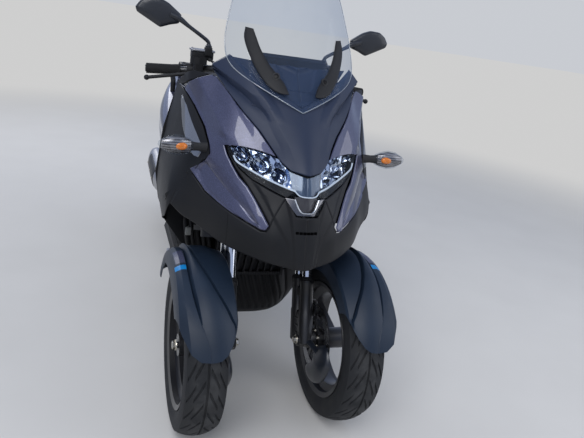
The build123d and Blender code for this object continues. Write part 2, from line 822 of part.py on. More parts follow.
skirt_bottom = 214
for side, sign in sides:
    skirt_top = floor_z - wall - 1
    skirt_section = [(floor_half_width, skirt_top), (floor_half_width, skirt_top - 8),
                     (floor_half_width + 6, 314), (206, skirt_bottom), (150, skirt_bottom - 4)]
    outline = strip(skirt_section, -wall)
    with BuildPart() as side_skirt:
        with BuildSketch(cross_section(floor_y + 20)):
            with BuildLine():
                Polyline([(sign * x, z) for x, z in outline], close=True)
            make_face()
        extrude(amount=floor_y + 20 - floor_end)
        with BuildSketch(side_view):
            with BuildLine():
                Polyline((360, 200), (470, 200), (390, 300), (372, 352), (360, 352), close=True)
            make_face()
            with BuildLine():
                Polyline((760, 200), (850, 200), (850, 290), close=True)
            make_face()
        extrude(amount=sign * 400, mode=Mode.SUBTRACT)
    finish(side_skirt, f"side_skirt_{side}")

# Radiator in its shroud, ahead of the leg shield
radiator_depth = 28
radiator_front = rail_y - rail_radius - radiator_depth
radiator_half_width = 128
radiator_bottom = 350
radiator_top = 596
with BuildPart() as radiator:
    with BuildSketch(cross_section(radiator_front)):
        with Locations((0, (radiator_bottom + radiator_top) / 2)):
            Rectangle(2 * radiator_half_width, radiator_top - radiator_bottom)
            Rectangle(2 * radiator_half_width - 24, radiator_top - radiator_bottom - 24, mode=Mode.SUBTRACT)
    extrude(amount=-radiator_depth)
    with BuildSketch(cross_section(radiator_front + 16)):
        with Locations((0, (radiator_bottom + radiator_top) / 2)):
            Rectangle(2 * radiator_half_width, radiator_top - radiator_bottom)
    extrude(amount=-12)
    with BuildSketch(cross_section(radiator_front + 4)):
        for rib in range(9):
            rib_x = (rib - 4) * 26
            with BuildLine():
                Polyline((rib_x - 24, radiator_bottom + 6), (rib_x - 16, radiator_bottom + 6),
                         (rib_x + 14, radiator_top - 6), (rib_x + 6, radiator_top - 6), close=True)
            make_face()
    extrude(amount=-14)
finish(radiator, "radiator")

# The rear half, from the engine back, keeps its distance to the rear axle
datum_y = front_axle_y + rear_shift
ground = Plane(origin=(0, datum_y, 0))
side_view = Plane(origin=(0, datum_y, 0), x_dir=(0, 1, 0), z_dir=(1, 0, 0))
front_view = Plane(origin=(0, datum_y, 0), x_dir=(1, 0, 0), z_dir=(0, -1, 0))

# Engine, one plain block hung from a cross tube of the frame
engine_front = 1080
engine_back = 1300
engine_bottom = 235
engine_top = 480
engine_right = -80
engine_left = 76
engine_tube = (1005, *cross_tubes[2][1:])
pivot_y = 1240
pivot_z = 190
stand_lug_x = (-70, 62)
with BuildPart() as engine_block:
    with BuildSketch(side_view.offset(engine_right)):
        with Locations(((engine_front + engine_back) / 2, (engine_bottom + engine_top) / 2)):
            RectangleRounded(engine_back - engine_front, engine_top - engine_bottom, 18)
    extrude(amount=engine_left - engine_right)
    with BuildSketch(side_view.offset(-34)):
        with Locations((engine_tube[0], engine_tube[1])):
            Circle(24)
        with Locations((engine_front + 24, engine_tube[1])):
            Circle(24)
        make_hull()
        with Locations((engine_tube[0], engine_tube[1])):
            Circle(engine_tube[3], mode=Mode.SUBTRACT)
    extrude(amount=68)
    for lug_x in stand_lug_x:
        with BuildSketch(side_view.offset(lug_x)):
            with Locations((pivot_y, pivot_z)):
                Circle(20)
            with Locations((pivot_y, engine_bottom + 18)):
                Circle(24)
            make_hull()
            with Locations((pivot_y, pivot_z)):
                Circle(12 + clearance, mode=Mode.SUBTRACT)
        extrude(amount=10)
finish(engine_block, "engine_block")

# Transmission case on the left, carries the rear axle
case_left = 150
with BuildPart() as transmission_case:
    with BuildSketch(side_view.offset(engine_left)):
        with Locations((1180, 340)):
            Circle(98)
        with Locations((drawn_wheelbase, rear_axle_z + 6)):
            Circle(76)
        make_hull()
    extrude(amount=case_left - engine_left - 12)
    with BuildSketch(side_view.offset(case_left - 12)):
        with Locations((1180, 340)):
            Circle(90)
        with Locations((drawn_wheelbase, rear_axle_z + 6)):
            Circle(66)
        make_hull()
    extrude(amount=12, taper=30)
    with BuildSketch(side_view.offset(shock_x - 13)):
        with Locations(shock_foot):
            Circle(6)
    extrude(amount=26)
    with BuildSketch(side_view.offset(shock_x + 14)):
        with Locations(shock_foot):
            Circle(15)
        with Locations((shock_foot[0], rear_axle_z + 40)):
            Circle(22)
        make_hull()
    extrude(amount=9)
    with BuildSketch(side_view.offset(shock_x + 8)):
        with Locations(shock_foot):
            Circle(6)
    extrude(amount=6)
    with BuildSketch(side_view.offset(-98)):
        with Locations((drawn_wheelbase, rear_axle_z)):
            Circle(axle_radius)
    extrude(amount=98 + engine_left + 10)
finish(transmission_case, "transmission_case")

# Swing arm plate on the right, from the engine to the axle
arm_right = 94
with BuildPart() as swing_arm:
    with BuildSketch(side_view.offset(engine_right)):
        with Locations((1262, 330)):
            Circle(34)
        with Locations((drawn_wheelbase, rear_axle_z)):
            Circle(27)
        make_hull()
        with Locations((drawn_wheelbase, rear_axle_z)):
            Circle(axle_radius, mode=Mode.SUBTRACT)
    extrude(amount=-arm_right - engine_right)
    with BuildSketch(side_view.offset(-arm_right)):
        with Locations(shock_foot):
            Circle(15)
        with Locations((drawn_wheelbase - 10, rear_axle_z + 24)):
            Circle(18)
        make_hull()
    extrude(amount=9)
    with BuildSketch(side_view.offset(-arm_right)):
        with Locations(shock_foot):
            Circle(6)
    extrude(amount=-(shock_x + 13 - arm_right))
    with BuildSketch(side_view.offset(-arm_right)):
        with Locations((drawn_wheelbase, rear_axle_z)):
            Circle(axle_radius)
    extrude(amount=arm_right, mode=Mode.SUBTRACT)
finish(swing_arm, "swing_arm")

# Rear shocks, a coil over each damper
for side, sign in sides:
    low = (shock_x, shock_foot[0], shock_foot[1])
    high = (shock_x, shock_top[0], shock_top[1])
    length = math.dist(low, high)
    with BuildPart() as shock:
        for start, reach, radius in ((0, length, 7), (20, length * 0.45, 20), (26, 12, 28), (length - 44, 10, 28),
                                     (length - 60, 36, 17)):
            with BuildSketch(aim(low, high, sign, start)):
                Circle(radius)
            extrude(amount=reach)
        coil_start = 38
        coil_end = length - 44
        turns = 7
        for turn in range(turns):
            middle = aim(low, high, sign, coil_start + (turn + 0.5) * (coil_end - coil_start) / turns)
            with BuildSketch(middle.offset(-4)):
                Circle(26)
            extrude(amount=8)
        for end in (low, high):
            with BuildSketch(side_view.offset(sign * (shock_x - 12))):
                with Locations((end[1], end[2])):
                    Circle(14)
            extrude(amount=sign * 24)
        for end in (low, high):
            with BuildSketch(side_view.offset(sign * (shock_x - 40))):
                with Locations((end[1], end[2])):
                    Circle(7 if end is high else 6)
            extrude(amount=sign * 80, mode=Mode.SUBTRACT)
    finish(shock, f"rear_shock_{side}")

# Exhaust pipe and muffler
muffler_x = -196
muffler_front = 1340
muffler_back = 1800
muffler_z = 332
with BuildPart() as muffler:
    tube([(-50, engine_front, 300), (-50, 1036, 300), (-136, 1040, 258), (-188, 1230, 286),
          (muffler_x, muffler_front + 20, muffler_z - 10)], [24, 34, 70], 17)
    with BuildSketch(cross_section(muffler_front)):
        with Locations((muffler_x, muffler_z)):
            Ellipse(30, 36)
    with BuildSketch(cross_section(muffler_front + 70)):
        with Locations((muffler_x, muffler_z + 6)):
            Ellipse(50, 66)
    with BuildSketch(cross_section(muffler_back - 60)):
        with Locations((muffler_x, muffler_z + 24)):
            Ellipse(50, 66)
    with BuildSketch(cross_section(muffler_back)):
        with Locations((muffler_x, muffler_z + 28)):
            Ellipse(40, 54)
    loft(ruled=True)
    with BuildSketch(cross_section(muffler_back)):
        with Locations((muffler_x, muffler_z + 40)):
            Circle(16)
    extrude(amount=-22)
    with BuildSketch(cross_section(muffler_back + 22)):
        with Locations((muffler_x, muffler_z + 40)):
            Circle(13)
    extrude(amount=60, mode=Mode.SUBTRACT)
    with BuildSketch(side_view.offset(-arm_right)):
        with Locations((1480, 305)):
            Circle(16)
        with Locations((1500, muffler_z)):
            Circle(16)
        make_hull()
    extrude(amount=muffler_x + 30 + arm_right)
finish(muffler, "muffler")

# Storage tub under the seat, stepped over the rear wheel
tub_half_width = seat_rail_x - rail_radius - clearance
tub_side = [(862, 520), (1180, 520), (1210, 660), (1480, 672), (1480, 726), (862, 690)]
tub_inner = [(862 + wall, 520 + wall), (1177, 520 + wall), (1207, 660 + wall), (1480 - wall, 672 + wall),
             (1480 - wall, 800), (862 + wall, 800)]
with BuildPart() as storage_tub:
    with BuildSketch(side_view.offset(-tub_half_width)):
        with BuildLine():
            Polyline(tub_side, close=True)
        make_face()
    extrude(amount=2 * tub_half_width)
    with BuildSketch(side_view.offset(wall - tub_half_width)):
        with BuildLine():
            Polyline(tub_inner, close=True)
        make_face()
    extrude(amount=2 * (tub_half_width - wall), mode=Mode.SUBTRACT)
finish(storage_tub, "storage_tub")

# Rear cowls, each lofted through four upright sections from the floor to the tail
cowl_sections = (
    (riser_front + wall, [(100, 352), (222, 360), (226, 470), (205, 600), (150, 684), (120, 690)]),
    (1120, [(206, 470), (232, 500), (240, 580), (228, 664), (178, 718), (126, 722)]),
    (1450, [(196, 600), (220, 620), (232, 680), (222, 742), (190, 806), (136, 812)]),
    (1830, [(96, 742), (120, 752), (134, 780), (132, 812), (112, 850), (70, 858)]),
)
rack_post = (104, 1734)
rack_post_radius = 12
for side, sign in sides:
    with BuildPart() as rear_cowl:
        for section_y, points in cowl_sections:
            with BuildSketch(cross_section(section_y)):
                with BuildLine():
                    Polyline([(sign * x, z) for x, z in strip(points, wall)], close=True)
                make_face()
        loft(ruled=True)
        with BuildSketch(ground.offset(760)):
            with Locations((sign * rack_post[0], rack_post[1])):
                Circle(rack_post_radius + clearance)
        extrude(amount=200, mode=Mode.SUBTRACT)
    finish(rear_cowl, f"rear_cowl_{side}")

# Riser panel between the floor tunnel and the seat, with the ears of the seat hinge
hinge_y = 815
hinge_z = 692
hinge_pin_radius = 4
riser_half = [(0, 690), (120, 690), (150, 684), (205, 600), (226, 470), (222, 360), (200, 347), (0, 347)]
with BuildPart() as riser_panel:
    with BuildSketch(cross_section(riser_front)):
        with BuildLine():
            Polyline(riser_half, close=True)
        make_face()
        mirror(about=Plane.YZ)
    extrude(amount=-wall)
    for side, sign in sides:
        with BuildSketch(side_view.offset(sign * 30)):
            with Locations((hinge_y, hinge_z)):
                Circle(8)
            with Locations((riser_front, 676), (riser_front, 668)):
                Circle(4)
            make_hull()
        extrude(amount=sign * 6)
        with BuildSketch(side_view.offset(sign * 20)):
            with Locations((hinge_y, hinge_z)):
                Circle(hinge_pin_radius)
        extrude(amount=sign * 12)
finish(riser_panel, "riser_panel")

# Seat, a cushion on a pan that hinges at its nose
pan_line = [(796, 700), (842, 704), (1120, 734), (1450, 822), (1668, 850)]
pan_thickness = 5
cushion_top = [(1676, 862), (1668, 890), (1620, 906), (1310, 895), (1262, 862), (1222, 806), (1180, 796),
               (850, 794), (806, 778), (786, 740), (792, pan_line[0][1] + pan_thickness)]
seat_plan = [(0, 784), (72, 790), (122, 836), (158, 1000), (170, 1150), (164, 1300), (150, 1480), (122, 1630),
             (70, 1674), (0, 1680)]
with BuildPart() as seat_cushion:
    with BuildSketch(side_view.offset(-200)):
        with BuildLine():
            Polyline([(y, z + pan_thickness) for y, z in pan_line] + cushion_top, close=True)
        make_face()
    extrude(amount=400)
    with BuildSketch(ground.offset(600)):
        with BuildLine():
            Polyline(both_sides(seat_plan)[:-1], close=True)
        make_face()
    extrude(amount=400, mode=Mode.INTERSECT)
finish(seat_cushion, "seat_cushion")

with BuildPart() as seat_pan:
    with BuildSketch(side_view.offset(-200)):
        with BuildLine():
            Polyline(strip(pan_line, pan_thickness), close=True)
        make_face()
    extrude(amount=400)
    with BuildSketch(ground.offset(600)):
        with BuildLine():
            Polyline(both_sides([(max(x - 8, 0), y) for x, y in seat_plan])[:-1], close=True)
        make_face()
    extrude(amount=400, mode=Mode.INTERSECT)
    with BuildSketch(side_view.offset(-29)):
        with Locations((hinge_y, hinge_z)):
            Circle(8)
        with Locations((hinge_y, hinge_z + 6)):
            Circle(8)
        make_hull()
    extrude(amount=58)
    with BuildSketch(side_view.offset(-29)):
        with Locations((hinge_y, hinge_z)):
            Circle(hinge_pin_radius + clearance)
    extrude(amount=58, mode=Mode.SUBTRACT)
    add(seat_cushion.part, mode=Mode.SUBTRACT)
finish(seat_pan, "seat_pan")

# Tail, a cap between the cowls that holds the lamp
tail_y = 1830
tail_end = 1884
tail_front = [(0, 858), (70, 858), (112, 850), (132, 812), (134, 780), (120, 752), (96, 742), (0, 742)]
tail_back = [(0, 846), (62, 846), (96, 838), (110, 810), (110, 788), (98, 764), (80, 758), (0, 758)]
lamp_z = 800
with BuildPart() as tail_cowl:
    for section_y, points in ((tail_y, tail_front), (tail_end, tail_back)):
        with BuildSketch(cross_section(section_y)):
            with BuildLine():
                Polyline(both_sides(points)[:-1], close=True)
            make_face()
    loft(ruled=True)
    with BuildSketch(cross_section(tail_end)):
        with Locations((0, lamp_z)):
            RectangleRounded(176, 50, 16)
    extrude(amount=24, mode=Mode.SUBTRACT)
    with BuildSketch(cross_section(1680)):
        with BuildLine():
            Polyline([(95, 838), (95, 842), (-95, 842), (-95, 838)], close=True)
        make_face()
    with BuildSketch(cross_section(tail_y)):
        with BuildLine():
            Polyline([(68, 854), (68, 858), (-68, 858), (-68, 854)], close=True)
        make_face()
    loft(ruled=True)
    with BuildSketch(ground.offset(800)):
        with Locations((-rack_post[0], rack_post[1]), rack_post):
            Circle(rack_post_radius + clearance)
    extrude(amount=200, mode=Mode.SUBTRACT)
finish(tail_cowl, "tail_cowl")

with BuildPart() as tail_lamp:
    with BuildSketch(cross_section(tail_end - 24)):
        with Locations((0, lamp_z)):
            RectangleRounded(176, 50, 16)
    extrude(amount=-24)
    with BuildSketch(cross_section(tail_end)):
        with Locations((0, lamp_z)):
            RectangleRounded(176, 50, 16)
    extrude(amount=-14, taper=30)
finish(tail_lamp, "tail_lamp")

# Grab rail with a small rack pad, bolted to the seat rails
rack_z = 912
rack_bolts = (100, 90)
with BuildPart() as grab_rail:
    for side, sign in sides:
        tube([(sign * 84, 1710, rack_z - 12), (sign * 164, 1668, rack_z - 14), (sign * 180, 1484, 884),
              (sign * 177, 1424, 862), (sign * 177, 1424, 801)], [60, 30, 26], 12)
        with BuildSketch(ground.offset(741)):
            with Locations((sign * rack_post[0], rack_post[1])):
                Circle(rack_post_radius)
        extrude(amount=rack_z - 8 - 741)
    with BuildSketch(ground.offset(rack_z - 10)):
        with Locations((0, 1752)):
            RectangleRounded(212, 148, 24)
        with Locations((0, 1752)):
            with GridLocations(rack_bolts[0], rack_bolts[1], 2, 2):
                Circle(3.3, mode=Mode.SUBTRACT)
            RectangleRounded(56, 40, 10, mode=Mode.SUBTRACT)
    extrude(amount=10)
    add(rear_cowl.part, mode=Mode.SUBTRACT)
    add(rear_cowl.part.mirror(Plane.YZ), mode=Mode.SUBTRACT)
    add(seat_cushion.part, mode=Mode.SUBTRACT)
    add(frame.part, mode=Mode.SUBTRACT)
finish(grab_rail, "grab_rail")

# Plate carrier behind the wheel and the blank plate on it
rear_end = drawn_wheelbase + rear_tyre_radius + tail_gap
carrier_line = [(1672, 741), (1800, 741), (1846, 700), (rear_end - 7, 446)]
carrier_half_width = 82
plate_width = 180
plate_height = 200
plate_thickness = 2
with BuildPart() as plate_carrier:
    with BuildSketch(side_view.offset(-carrier_half_width)):
        with BuildLine():
            Polyline(strip(carrier_line, wall), close=True)
        make_face()
    extrude(amount=2 * carrier_half_width)
finish(plate_carrier, "plate_carrier")

slope = math.atan2(carrier_line[3][1] - carrier_line[2][1], carrier_line[3][0] - carrier_line[2][0])
slope_length = math.dist(carrier_line[2], carrier_line[3])
plate_middle = slope_length - plate_height / 2 - 6
plate_origin = (0, datum_y + carrier_line[2][0] + math.cos(slope) * plate_middle - math.sin(slope) * wall,
                carrier_line[2][1] + math.sin(slope) * plate_middle + math.cos(slope) * wall)
plate_plane = Plane(origin=plate_origin, x_dir=(1, 0, 0), z_dir=(0, -math.sin(slope), math.cos(slope)))
with BuildPart() as number_plate:
    with BuildSketch(plate_plane):
        RectangleRounded(plate_width, plate_height, 10)
    extrude(amount=plate_thickness)
finish(number_plate, "number_plate")

# Centre stand, feet a little ahead of its pivot so that the weight holds it open
stand_tube_radius = 12
leg_radius = 11
foot_y = 1226
foot_x = 150
with BuildPart() as centre_stand:
    with BuildSketch(side_view.offset(-106)):
        with Locations((pivot_y, pivot_z)):
            Circle(stand_tube_radius)
    extrude(amount=212)
    for side, sign in sides:
        tube([(sign * 96, pivot_y, pivot_z), (sign * 118, 1236, 110), (sign * foot_x, foot_y, 8)], [120], leg_radius)
        with BuildSketch(ground):
            with Locations((sign * foot_x, foot_y)):
                RectangleRounded(34, 70, 10)
        extrude(amount=9)
    with BuildSketch(side_view.offset(-112)):
        with Locations((1237, 122)):
            Circle(8)
    extrude(amount=224)
finish(centre_stand, "centre_stand")

# Side stand, folded back along the left side
side_eye_x = rail_x + 34 + clearance
with BuildPart() as side_stand:
    with BuildSketch(side_view.offset(side_eye_x)):
        with Locations(stand_pivot):
            Circle(15)
    extrude(amount=18)
    tube([(side_eye_x + 9, stand_pivot[0] + 6, stand_pivot[1]), (128, 1020, stand_pivot[1]),
          (176, 1124, stand_pivot[1])], [120], 9)
    with BuildSketch(Plane(origin=(178, datum_y + 1124, stand_pivot[1] - 12), x_dir=(1, 0, 0), z_dir=(0, 0, 1))):
        RectangleRounded(44, 16, 4)
    extrude(amount=30)
    with BuildSketch(side_view.offset(side_eye_x - 4)):
        with Locations(stand_pivot):
            Circle(8 + clearance)
    extrude(amount=30, mode=Mode.SUBTRACT)
finish(side_stand, "side_stand")
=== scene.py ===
import bmesh
import bpy
import math
import numpy as np
from mathutils import Matrix, Vector


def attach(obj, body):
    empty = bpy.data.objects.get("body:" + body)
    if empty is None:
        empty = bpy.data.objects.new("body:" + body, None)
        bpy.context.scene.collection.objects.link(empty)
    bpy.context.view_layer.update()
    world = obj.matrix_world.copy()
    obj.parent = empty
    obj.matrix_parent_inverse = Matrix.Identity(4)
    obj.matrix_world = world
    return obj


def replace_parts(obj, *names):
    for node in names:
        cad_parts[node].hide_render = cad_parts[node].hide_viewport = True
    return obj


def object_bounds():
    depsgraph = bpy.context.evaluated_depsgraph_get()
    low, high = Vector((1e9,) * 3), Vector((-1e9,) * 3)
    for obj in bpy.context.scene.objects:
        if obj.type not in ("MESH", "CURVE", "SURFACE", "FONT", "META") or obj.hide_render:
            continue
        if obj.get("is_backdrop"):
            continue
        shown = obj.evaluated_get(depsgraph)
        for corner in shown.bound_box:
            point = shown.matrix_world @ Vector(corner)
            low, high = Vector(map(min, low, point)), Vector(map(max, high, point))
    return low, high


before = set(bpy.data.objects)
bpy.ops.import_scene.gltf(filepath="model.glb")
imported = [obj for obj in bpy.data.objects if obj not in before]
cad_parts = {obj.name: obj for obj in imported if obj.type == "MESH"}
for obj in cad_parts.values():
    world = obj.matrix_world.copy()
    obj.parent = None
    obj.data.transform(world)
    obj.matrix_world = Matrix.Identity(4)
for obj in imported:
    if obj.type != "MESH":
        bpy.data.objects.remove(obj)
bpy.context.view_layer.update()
scene = bpy.context.scene
scene.view_settings.view_transform = "Standard"

# Camera. It stands in front and to the vehicle's right, a little above the handlebar, and looks
# down at it with the camera rolled over by nine degrees.
eye = (-0.530, -2.289, 1.235)
focal_pixels, picture_width = 555, 584
turned, tipped, rolled = (math.radians(angle) for angle in (-20.9, 19.7, 9.05))
ahead = np.array([-math.sin(turned) * math.cos(tipped), math.cos(turned) * math.cos(tipped), -math.sin(tipped)])
level_right = np.array([math.cos(turned), math.sin(turned), 0.0])
level_up = np.cross(level_right, ahead)
right = level_right * math.cos(rolled) + level_up * math.sin(rolled)
up = level_up * math.cos(rolled) - level_right * math.sin(rolled)
lens = bpy.data.cameras.new("camera")
lens.sensor_width = 36
lens.lens = 36 * focal_pixels / picture_width
camera = bpy.data.objects.new("camera", lens)
axes = np.stack([right, up, -ahead], 1)
camera.matrix_world = Matrix([[*row, place] for row, place in zip(axes, eye)] + [[0, 0, 0, 1]])
scene.collection.objects.link(camera)
scene.camera = camera


# Floor and light. A wide pale floor, one big soft lamp in front and above, a weaker one at the left
# and one behind, and a pale sky that metal and glass reflect.
class Shade:
    """Output of a shader node. Sums, products and comparisons add Math nodes, or Vector Math nodes for vectors."""

    def __init__(self, tree, socket):
        self.tree = tree
        self.socket = socket

    def node(self, kind, settings=None, sockets=None, out=0):
        """Adds any other node, with its settings first and then the values or links of its sockets"""
        made = self.tree.nodes.new("ShaderNode" + kind)
        for name, value in (settings or {}).items():
            setattr(made, name, value)
        for name, value in (sockets or {}).items():
            if isinstance(value, Shade):
                self.tree.links.new(value.socket, made.inputs[name])
            else:
                made.inputs[name].default_value = value
        return Shade(self.tree, made.outputs[out])

    def sum_of(self, operation, *values):
        """Math node, or Vector Math node where a value is a vector"""
        flat = all(value.socket.type == "VALUE" for value in values if isinstance(value, Shade))
        if not flat:
            values = [value if isinstance(value, (Shade, tuple)) else (value,) * 3 for value in values]
        return self.node("Math" if flat else "VectorMath", {"operation": operation}, dict(enumerate(values)))

    def __add__(self, other):
        return self.sum_of("ADD", self, other)

    def __sub__(self, other):
        return self.sum_of("SUBTRACT", self, other)

    def __mul__(self, other):
        return self.sum_of("MULTIPLY", self, other)

    def __pow__(self, other):
        return self.sum_of("POWER", self, other)

    def __rsub__(self, other):
        return self.sum_of("SUBTRACT", other, self)

    def __abs__(self):
        return self.sum_of("ABSOLUTE", self)

    def __gt__(self, other):
        return self.sum_of("GREATER_THAN", self, other)

    def __lt__(self, other):
        return self.sum_of("LESS_THAN", self, other)

    __radd__ = __add__
    __rmul__ = __mul__

    def sine(self):
        return self.sum_of("SINE", self)

    def fraction(self):
        """What is left over a whole number, which repeats a pattern"""
        return self.sum_of("FRACT", self)

    def angle_from(self, other):
        """Angle whose tangent is this over the other, in radians"""
        return self.sum_of("ARCTAN2", self, other)

    def step(self, low, high):
        """Smooth rise from 0 at low to 1 at high"""
        return self.node("MapRange", {"interpolation_type": "SMOOTHSTEP"}, {0: self, 1: low, 2: high})

    def mix(self, first, second):
        """Colour between first, where this is 0, and second, where it is 1"""
        first, second = ((*colour, 1) if isinstance(colour, tuple) else colour for colour in (first, second))
        return self.node("Mix", {"data_type": "RGBA"}, {0: self, 6: first, 7: second}, 2)

    def noise(self, scale, detail=3.0):
        """Cloudy pattern from 0 to 1 over this place"""
        return self.node("TexNoise", None, {"Vector": self, "Scale": scale, "Detail": detail})

    def cells(self, scale, out=0, settings=None):
        """Pattern of cells over this place: output 0 is the distance to a cell's middle, 1 its own colour"""
        return self.node("TexVoronoi", settings, {"Vector": self, "Scale": scale}, out)

    def part(self, axis):
        """One coordinate of this vector"""
        return self.node("SeparateXYZ", None, {0: self}, axis)


floor_reach = 60
floor_mesh = bpy.data.meshes.new("floor")
floor_corners = [(x * floor_reach, y * floor_reach, 0) for x, y in ((-1, -1), (1, -1), (1, 1), (-1, 1))]
floor_mesh.from_pydata(floor_corners, [], [(0, 1, 2, 3)])
floor = bpy.data.objects.new("floor", floor_mesh)
scene.collection.objects.link(floor)
floor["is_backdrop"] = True
pale = bpy.data.materials.new("pale_floor")
pale.use_nodes = True
pale_tree = pale.node_tree
pale_shader = pale_tree.nodes["Principled BSDF"]
pale_shader.inputs["Roughness"].default_value = 0.9
place = Shade(pale_tree, pale_tree.nodes.new("ShaderNodeTexCoord").outputs["Object"])
mottle = place.noise(3.0).mix((0.62, 0.61, 0.60), (0.68, 0.67, 0.66))
pale_tree.links.new(mottle.socket, pale_shader.inputs["Base Color"])
far = (place.part(0) ** 2 + place.part(1) ** 2).step(3.0, 30.0)
direct = place.node("LightPath", None, None, "Is Camera Ray")
glare = place.node("Emission", None, {"Color": (0.62, 0.62, 0.62, 1)})
blend = place.node("MixShader", None, {0: far * direct, 2: glare})
pale_tree.links.new(pale_shader.outputs["BSDF"], blend.socket.node.inputs[1])
pale_tree.links.new(blend.socket, pale_tree.nodes["Material Output"].inputs["Surface"])
floor_mesh.materials.append(pale)

sky = bpy.data.worlds.new("sky")
sky.use_nodes = True
scene.world = sky
sky_tree = sky.node_tree
backdrop = sky_tree.nodes["Background"]
seen_first = Shade(sky_tree, sky_tree.nodes.new("ShaderNodeLightPath").outputs["Is Camera Ray"])
seen = seen_first + seen_first.node("LightPath", None, None, "Is Transmission Ray")
mirrored = seen_first.node("LightPath", None, None, "Is Glossy Ray")
around_it = mirrored.mix((0.36, 0.40, 0.48), (0.36, 0.43, 0.62))
sky_tree.links.new((seen > 0.5).mix(around_it, (0.58, 0.60, 0.64)).socket, backdrop.inputs["Color"])
backdrop.inputs["Strength"].default_value = 1.0
lamp_aim = np.array([0, -0.4, 0.6])
for lamp_name, lamp_at, lamp_size, lamp_power in (("key", (-1.6, -3.2, 3.4), 2.6, 95),
                                                  ("fill", (3.0, -2.0, 2.2), 3.0, 38),
                                                  ("back", (-1.5, 3.2, 3.0), 2.6, 60)):
    soft = bpy.data.lights.new(lamp_name, "AREA")
    soft.size = lamp_size
    soft.energy = lamp_power
    shine = bpy.data.objects.new(lamp_name, soft)
    shine.location = lamp_at
    shine.rotation_euler = Vector(lamp_aim - np.array(lamp_at)).to_track_quat("-Z", "Y").to_euler()
    scene.collection.objects.link(shine)


# Tyres. Black rubber with a centre groove and curved grooves that sweep back to each shoulder, cut
# about four millimetres deep, on smooth sidewalls with fine raised rings.
def metres(points):
    """Millimetres, with y measured back from the front axle, to metres in the vehicle's frame"""
    return (np.asarray(points, float) + (0, -844, 0)) / 1000


def sheet(points, around=False, along=False):
    """A grid of points and its four-sided faces. around joins the last column to the first, along the last row"""
    points = np.asarray(points, float)
    index = np.arange(points.shape[0] * points.shape[1]).reshape(points.shape[:2])
    if around:
        index = np.concatenate([index, index[:, :1]], 1)
    if along:
        index = np.concatenate([index, index[:1]], 0)
    corners = np.stack([index[:-1, :-1], index[:-1, 1:], index[1:, 1:], index[1:, :-1]], -1)
    return points.reshape(-1, 3), corners.reshape(-1, 4)


def make(name, sheets, finish, body="chassis", edge=35):
    """One piece from several sheets, with doubles merged, faces turned outwards and crisp edges above edge degrees"""
    starts = np.cumsum([0] + [len(points) for points, _ in sheets[:-1]])
    points = metres(np.concatenate([points for points, _ in sheets]))
    faces = np.concatenate([faces + start for (_, faces), start in zip(sheets, starts)])
    mesh = bpy.data.meshes.new(name)
    mesh.from_pydata(points.tolist(), [], faces.tolist())
    work = bmesh.new()
    work.from_mesh(mesh)
    bmesh.ops.remove_doubles(work, verts=work.verts, dist=4e-6)
    bmesh.ops.recalc_face_normals(work, faces=work.faces)
    work.to_mesh(mesh)
    work.free()
    mesh.shade_smooth()
    mesh.set_sharp_from_angle(angle=math.radians(edge))
    mesh.materials.append(finish)
    piece = bpy.data.objects.new(name, mesh)
    scene.collection.objects.link(piece)
    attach(piece, body)
    return piece


class Finish:
    """A material with one Principled shader. plain sets what is the same all over, feed links what changes"""

    def __init__(self, name, plain):
        self.material = bpy.data.materials.new(name)
        self.material.use_nodes = True
        self.tree = self.material.node_tree
        self.shader = self.tree.nodes["Principled BSDF"]
        for socket, value in plain.items():
            self.shader.inputs[socket].default_value = value
        self.place = Shade(self.tree, self.tree.nodes.new("ShaderNodeTexCoord").outputs["Object"])

    def feed(self, name, value):
        """Links a value that changes over the surface to the shader's socket"""
        self.tree.links.new(value.socket, self.shader.inputs[name])

    def colour(self, value):
        self.feed("Base Color", value)

    def bump(self, height, distance):
        """Raises the surface by distance metres where height is 1"""
        self.feed("Normal", self.place.node("Bump", None, {"Height": height, "Distance": distance, "Strength": 1.0}))


def spread(*values):
    """Values as the coordinates of points, each repeated to the shape that all share"""
    return np.stack(np.broadcast_arrays(*values), -1)


def ramp(value):
    """Value held between 0 and 1"""
    return np.clip(value, 0, 1)


def tyre_rubber(name, centre):
    """Black rubber: worn paler on the crown by its distance from the axle, dusty in clouds, with fine sidewall rings"""
    made = Finish(name, {"Roughness": 0.75, "Specular IOR Level": 0.35})
    from_axle = (made.place - centre) * (0.0, 1.0, 1.0)
    radius = from_axle.node("VectorMath", {"operation": "LENGTH"}, {0: from_axle}, 1)
    worn = radius.step(0.248, 0.262) * made.place.noise(28.0).step(0.3, 0.7)
    dusty = made.place.noise(11.0, 6.0).step(0.45, 0.75) * 0.5
    black = dusty.mix((0.014, 0.015, 0.017), (0.034, 0.033, 0.031))
    made.colour(worn.mix(black, (0.040, 0.041, 0.043)))
    rings = (radius * 2600.0).sine() * (1.0 - radius.step(0.222, 0.230))
    made.bump(rings * 0.25 + made.place.noise(900.0) * 0.4, 0.0006)
    return made.material


front_axle_z, half_track, rear_axle = 262, 235, (0, 1595, 282)
rim_seat, liner, groove_depth, pitches = 178, 186, 4.2, 24
pitch = 2 * np.pi / pitches
